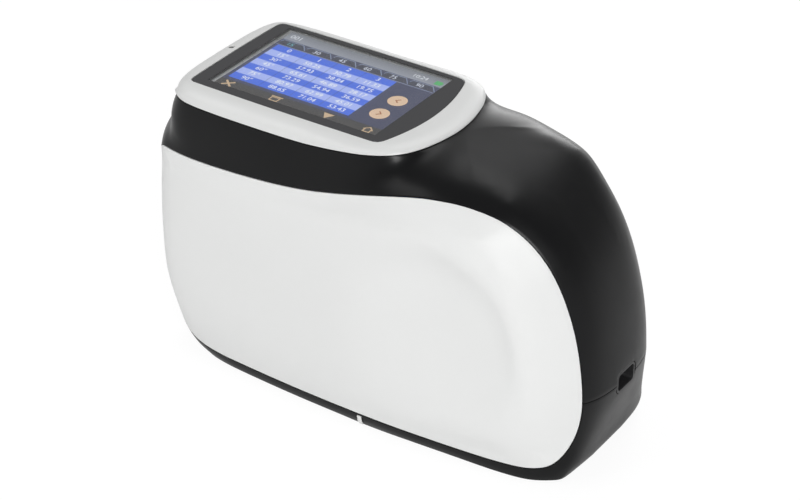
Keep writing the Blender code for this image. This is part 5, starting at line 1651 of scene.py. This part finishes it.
@dataclass
class Studio:
    """The floor, the soft lamps, the sky and the camera.

    Attributes:
        azimuth: Camera's angle round the instrument in degrees.
        elevation: Camera's angle over the floor in degrees.
        roll: Camera's roll in degrees.
        lens: Focal length in millimetres.
        seat: Camera's place along its own axes, in millimetres from the screen's foot.
        screen_foot: Place that the seat is measured from, in metres.
        sensor: Width of the camera's sensor in millimetres.
        lamps: Name, place in metres, side in metres and power in watts of each soft lamp.
        aim: Place that the lamps point at, in metres.
        floor_side: Side of the floor in metres.
        floor_drop: How far the floor lies below the feet, in metres.
        floor_glow: Strength of the floor's own white, for the rays that see it.
        glow_share: Share of that white in the floor.
        mirrored_share: Share of it that glossy rays see.
        sky_light: Strength of the sky at the horizon and high up.
        sky_span: Heights between which that strength changes.
        band_light: Strength that gloss and glass see at the horizon and over the band.
        band_span: Heights between which that strength changes.
    """

    azimuth: float = 35.072
    elevation: float = 32.302
    roll: float = -0.745
    lens: float = 103.5
    seat: tuple[float, float, float] = (24.96, -61.845, 842.233)
    screen_foot: tuple[float, float, float] = (-0.03326, 0.0, 0.1158)
    sensor: float = 36.0
    lamps: tuple[tuple[str, tuple[float, float, float], float, float], ...] = (
        ("key_lamp", (1.28, -1.21, 0.86), 0.45, 18.0),
        ("fill_lamp", (-1.2, -1.2, 1.3), 1.2, 10.0),
        ("back_lamp", (-0.2, 1.0, 1.7), 1.0, 8.0),
        ("far_lamp", (-0.6, 1.9, 0.5), 0.8, 9.0))
    aim: tuple[float, float, float] = (0.0, 0.0, 0.06)
    floor_side: float = 12.0
    floor_drop: float = 0.0002
    floor_glow: float = 1.06
    glow_share: float = 0.86
    mirrored_share: float = 0.6
    sky_light: tuple[float, float] = (0.26, 0.36)
    sky_span: tuple[float, float] = (0.0, 0.9)
    band_light: tuple[float, float] = (0.75, 0.40)
    band_span: tuple[float, float] = (0.0, 0.35)

    def build(self) -> None:
        """Make the whole studio."""
        self.floor()
        self.sky()
        for lamp in self.lamps:
            self.lamp(*lamp)
        self.camera()

    def floor(self) -> None:
        """Make the pale floor."""
        bpy.ops.object.select_all(action="DESELECT")
        bpy.ops.mesh.primitive_plane_add(size=self.floor_side,
                                         location=(0.0, 0.0, -self.floor_drop))
        floor = named("studio_floor")
        graph = Graph("floor_paint")
        tone = graph.ranged(graph.noise(0.4, 3.0), 0.0, 1.0)
        colour = graph.mixed(tone, (0.90, 0.90, 0.90), (0.93, 0.93, 0.93))
        graph.shade(Base_Color=colour, Roughness=0.7, Specular_IOR_Level=0.2)
        rays = graph.node("LightPath").outputs
        seen = graph.maths("MAXIMUM", rays["Is Camera Ray"], rays["Is Transmission Ray"])
        mirrored = graph.maths("MULTIPLY", rays["Is Glossy Ray"], self.mirrored_share)
        seen = graph.maths("MAXIMUM", seen, mirrored)
        share = graph.maths("MULTIPLY", seen, self.glow_share)
        white = graph.node("Emission", Color=(1.0, 1.0, 1.0), Strength=self.floor_glow)
        mix = graph.node("MixShader", Fac=share)
        graph.join(graph.shader.outputs[0], mix.inputs[1])
        graph.join(white.outputs[0], mix.inputs[2])
        output = graph.tree.nodes["Material Output"]
        graph.join(mix.outputs[0], output.inputs["Surface"])
        floor.data.materials.append(graph.material)

    def sky(self) -> None:
        """Light the studio softly, with a pale band low down for the gloss to mirror."""
        world = bpy.data.worlds.new("studio_sky")
        bpy.context.scene.world = world
        world.use_nodes = True
        world.node_tree.nodes.clear()
        sky = Nodes(world.node_tree)
        place = sky.node("TexCoord").outputs["Generated"]
        height = sky.node("SeparateXYZ", Vector=place).outputs["Z"]
        light = sky.ranged(height, *self.sky_light, *self.sky_span)
        band = sky.ranged(height, *self.band_light, *self.band_span)
        rays = sky.node("LightPath").outputs
        mirrored = sky.maths("MAXIMUM", rays["Is Glossy Ray"], rays["Is Transmission Ray"])
        level = sky.node("Mix", Factor=mirrored, A=light, B=band)
        glow = sky.node("Background", Color=(1.0, 1.0, 1.0), Strength=level.outputs[0])
        sky.node("OutputWorld", Surface=glow.outputs[0])

    def lamp(self, name: str, place: tuple[float, float, float], size: float,
             power: float) -> None:
        """Add a square soft lamp that points at the instrument.

        Args:
            name: Name of the lamp.
            place: Where it hangs, in metres.
            size: Its side in metres.
            power: Its power in watts.
        """
        bpy.ops.object.light_add(type="AREA", location=place)
        lamp = bpy.context.active_object
        lamp.name = name
        lamp.data.shape = "SQUARE"
        lamp.data.size = size
        lamp.data.energy = power
        aim = Vector(self.aim) - Vector(place)
        lamp.rotation_euler = aim.to_track_quat("-Z", "Y").to_euler()

    def camera(self) -> None:
        """Put the camera at the photograph's viewing angle."""
        turn, rise, roll = (math.radians(a) for a in (self.azimuth, self.elevation, self.roll))
        back = Vector((math.sin(turn) * math.cos(rise), -math.cos(turn) * math.cos(rise),
                       math.sin(rise)))
        right = Vector((math.cos(turn), math.sin(turn), 0.0))
        up = back.cross(right)
        across = right * math.cos(roll) + up * math.sin(roll)
        above = up * math.cos(roll) - right * math.sin(roll)
        axes = Matrix((across, above, back))
        place = axes.transposed() @ (Vector(self.seat) * MM) + Vector(self.screen_foot)
        bpy.ops.object.camera_add()
        camera = bpy.context.active_object
        camera.name = "studio_camera"
        camera.data.lens = self.lens
        camera.data.sensor_width = self.sensor
        camera.data.clip_start = 0.01
        camera.matrix_world = Matrix.Translation(place) @ axes.transposed().to_4x4()
        bpy.context.scene.camera = camera


def main() -> None:
    """Build every sub-assembly in order."""
    logging.basicConfig(level=logging.INFO, format="%(name)s: %(message)s")
    bpy.context.scene.view_settings.view_transform = "Standard"
    finishes = Finishes()
    Case(finishes).build()
    SideCovers(finishes).build()
    ScreenHead(finishes).build()
    DataPort(finishes).build()
    Underside(finishes).build()
    Keys(finishes).build()
    Inside(finishes).build()
    Studio().build()


if __name__ == "__main__":
    main()
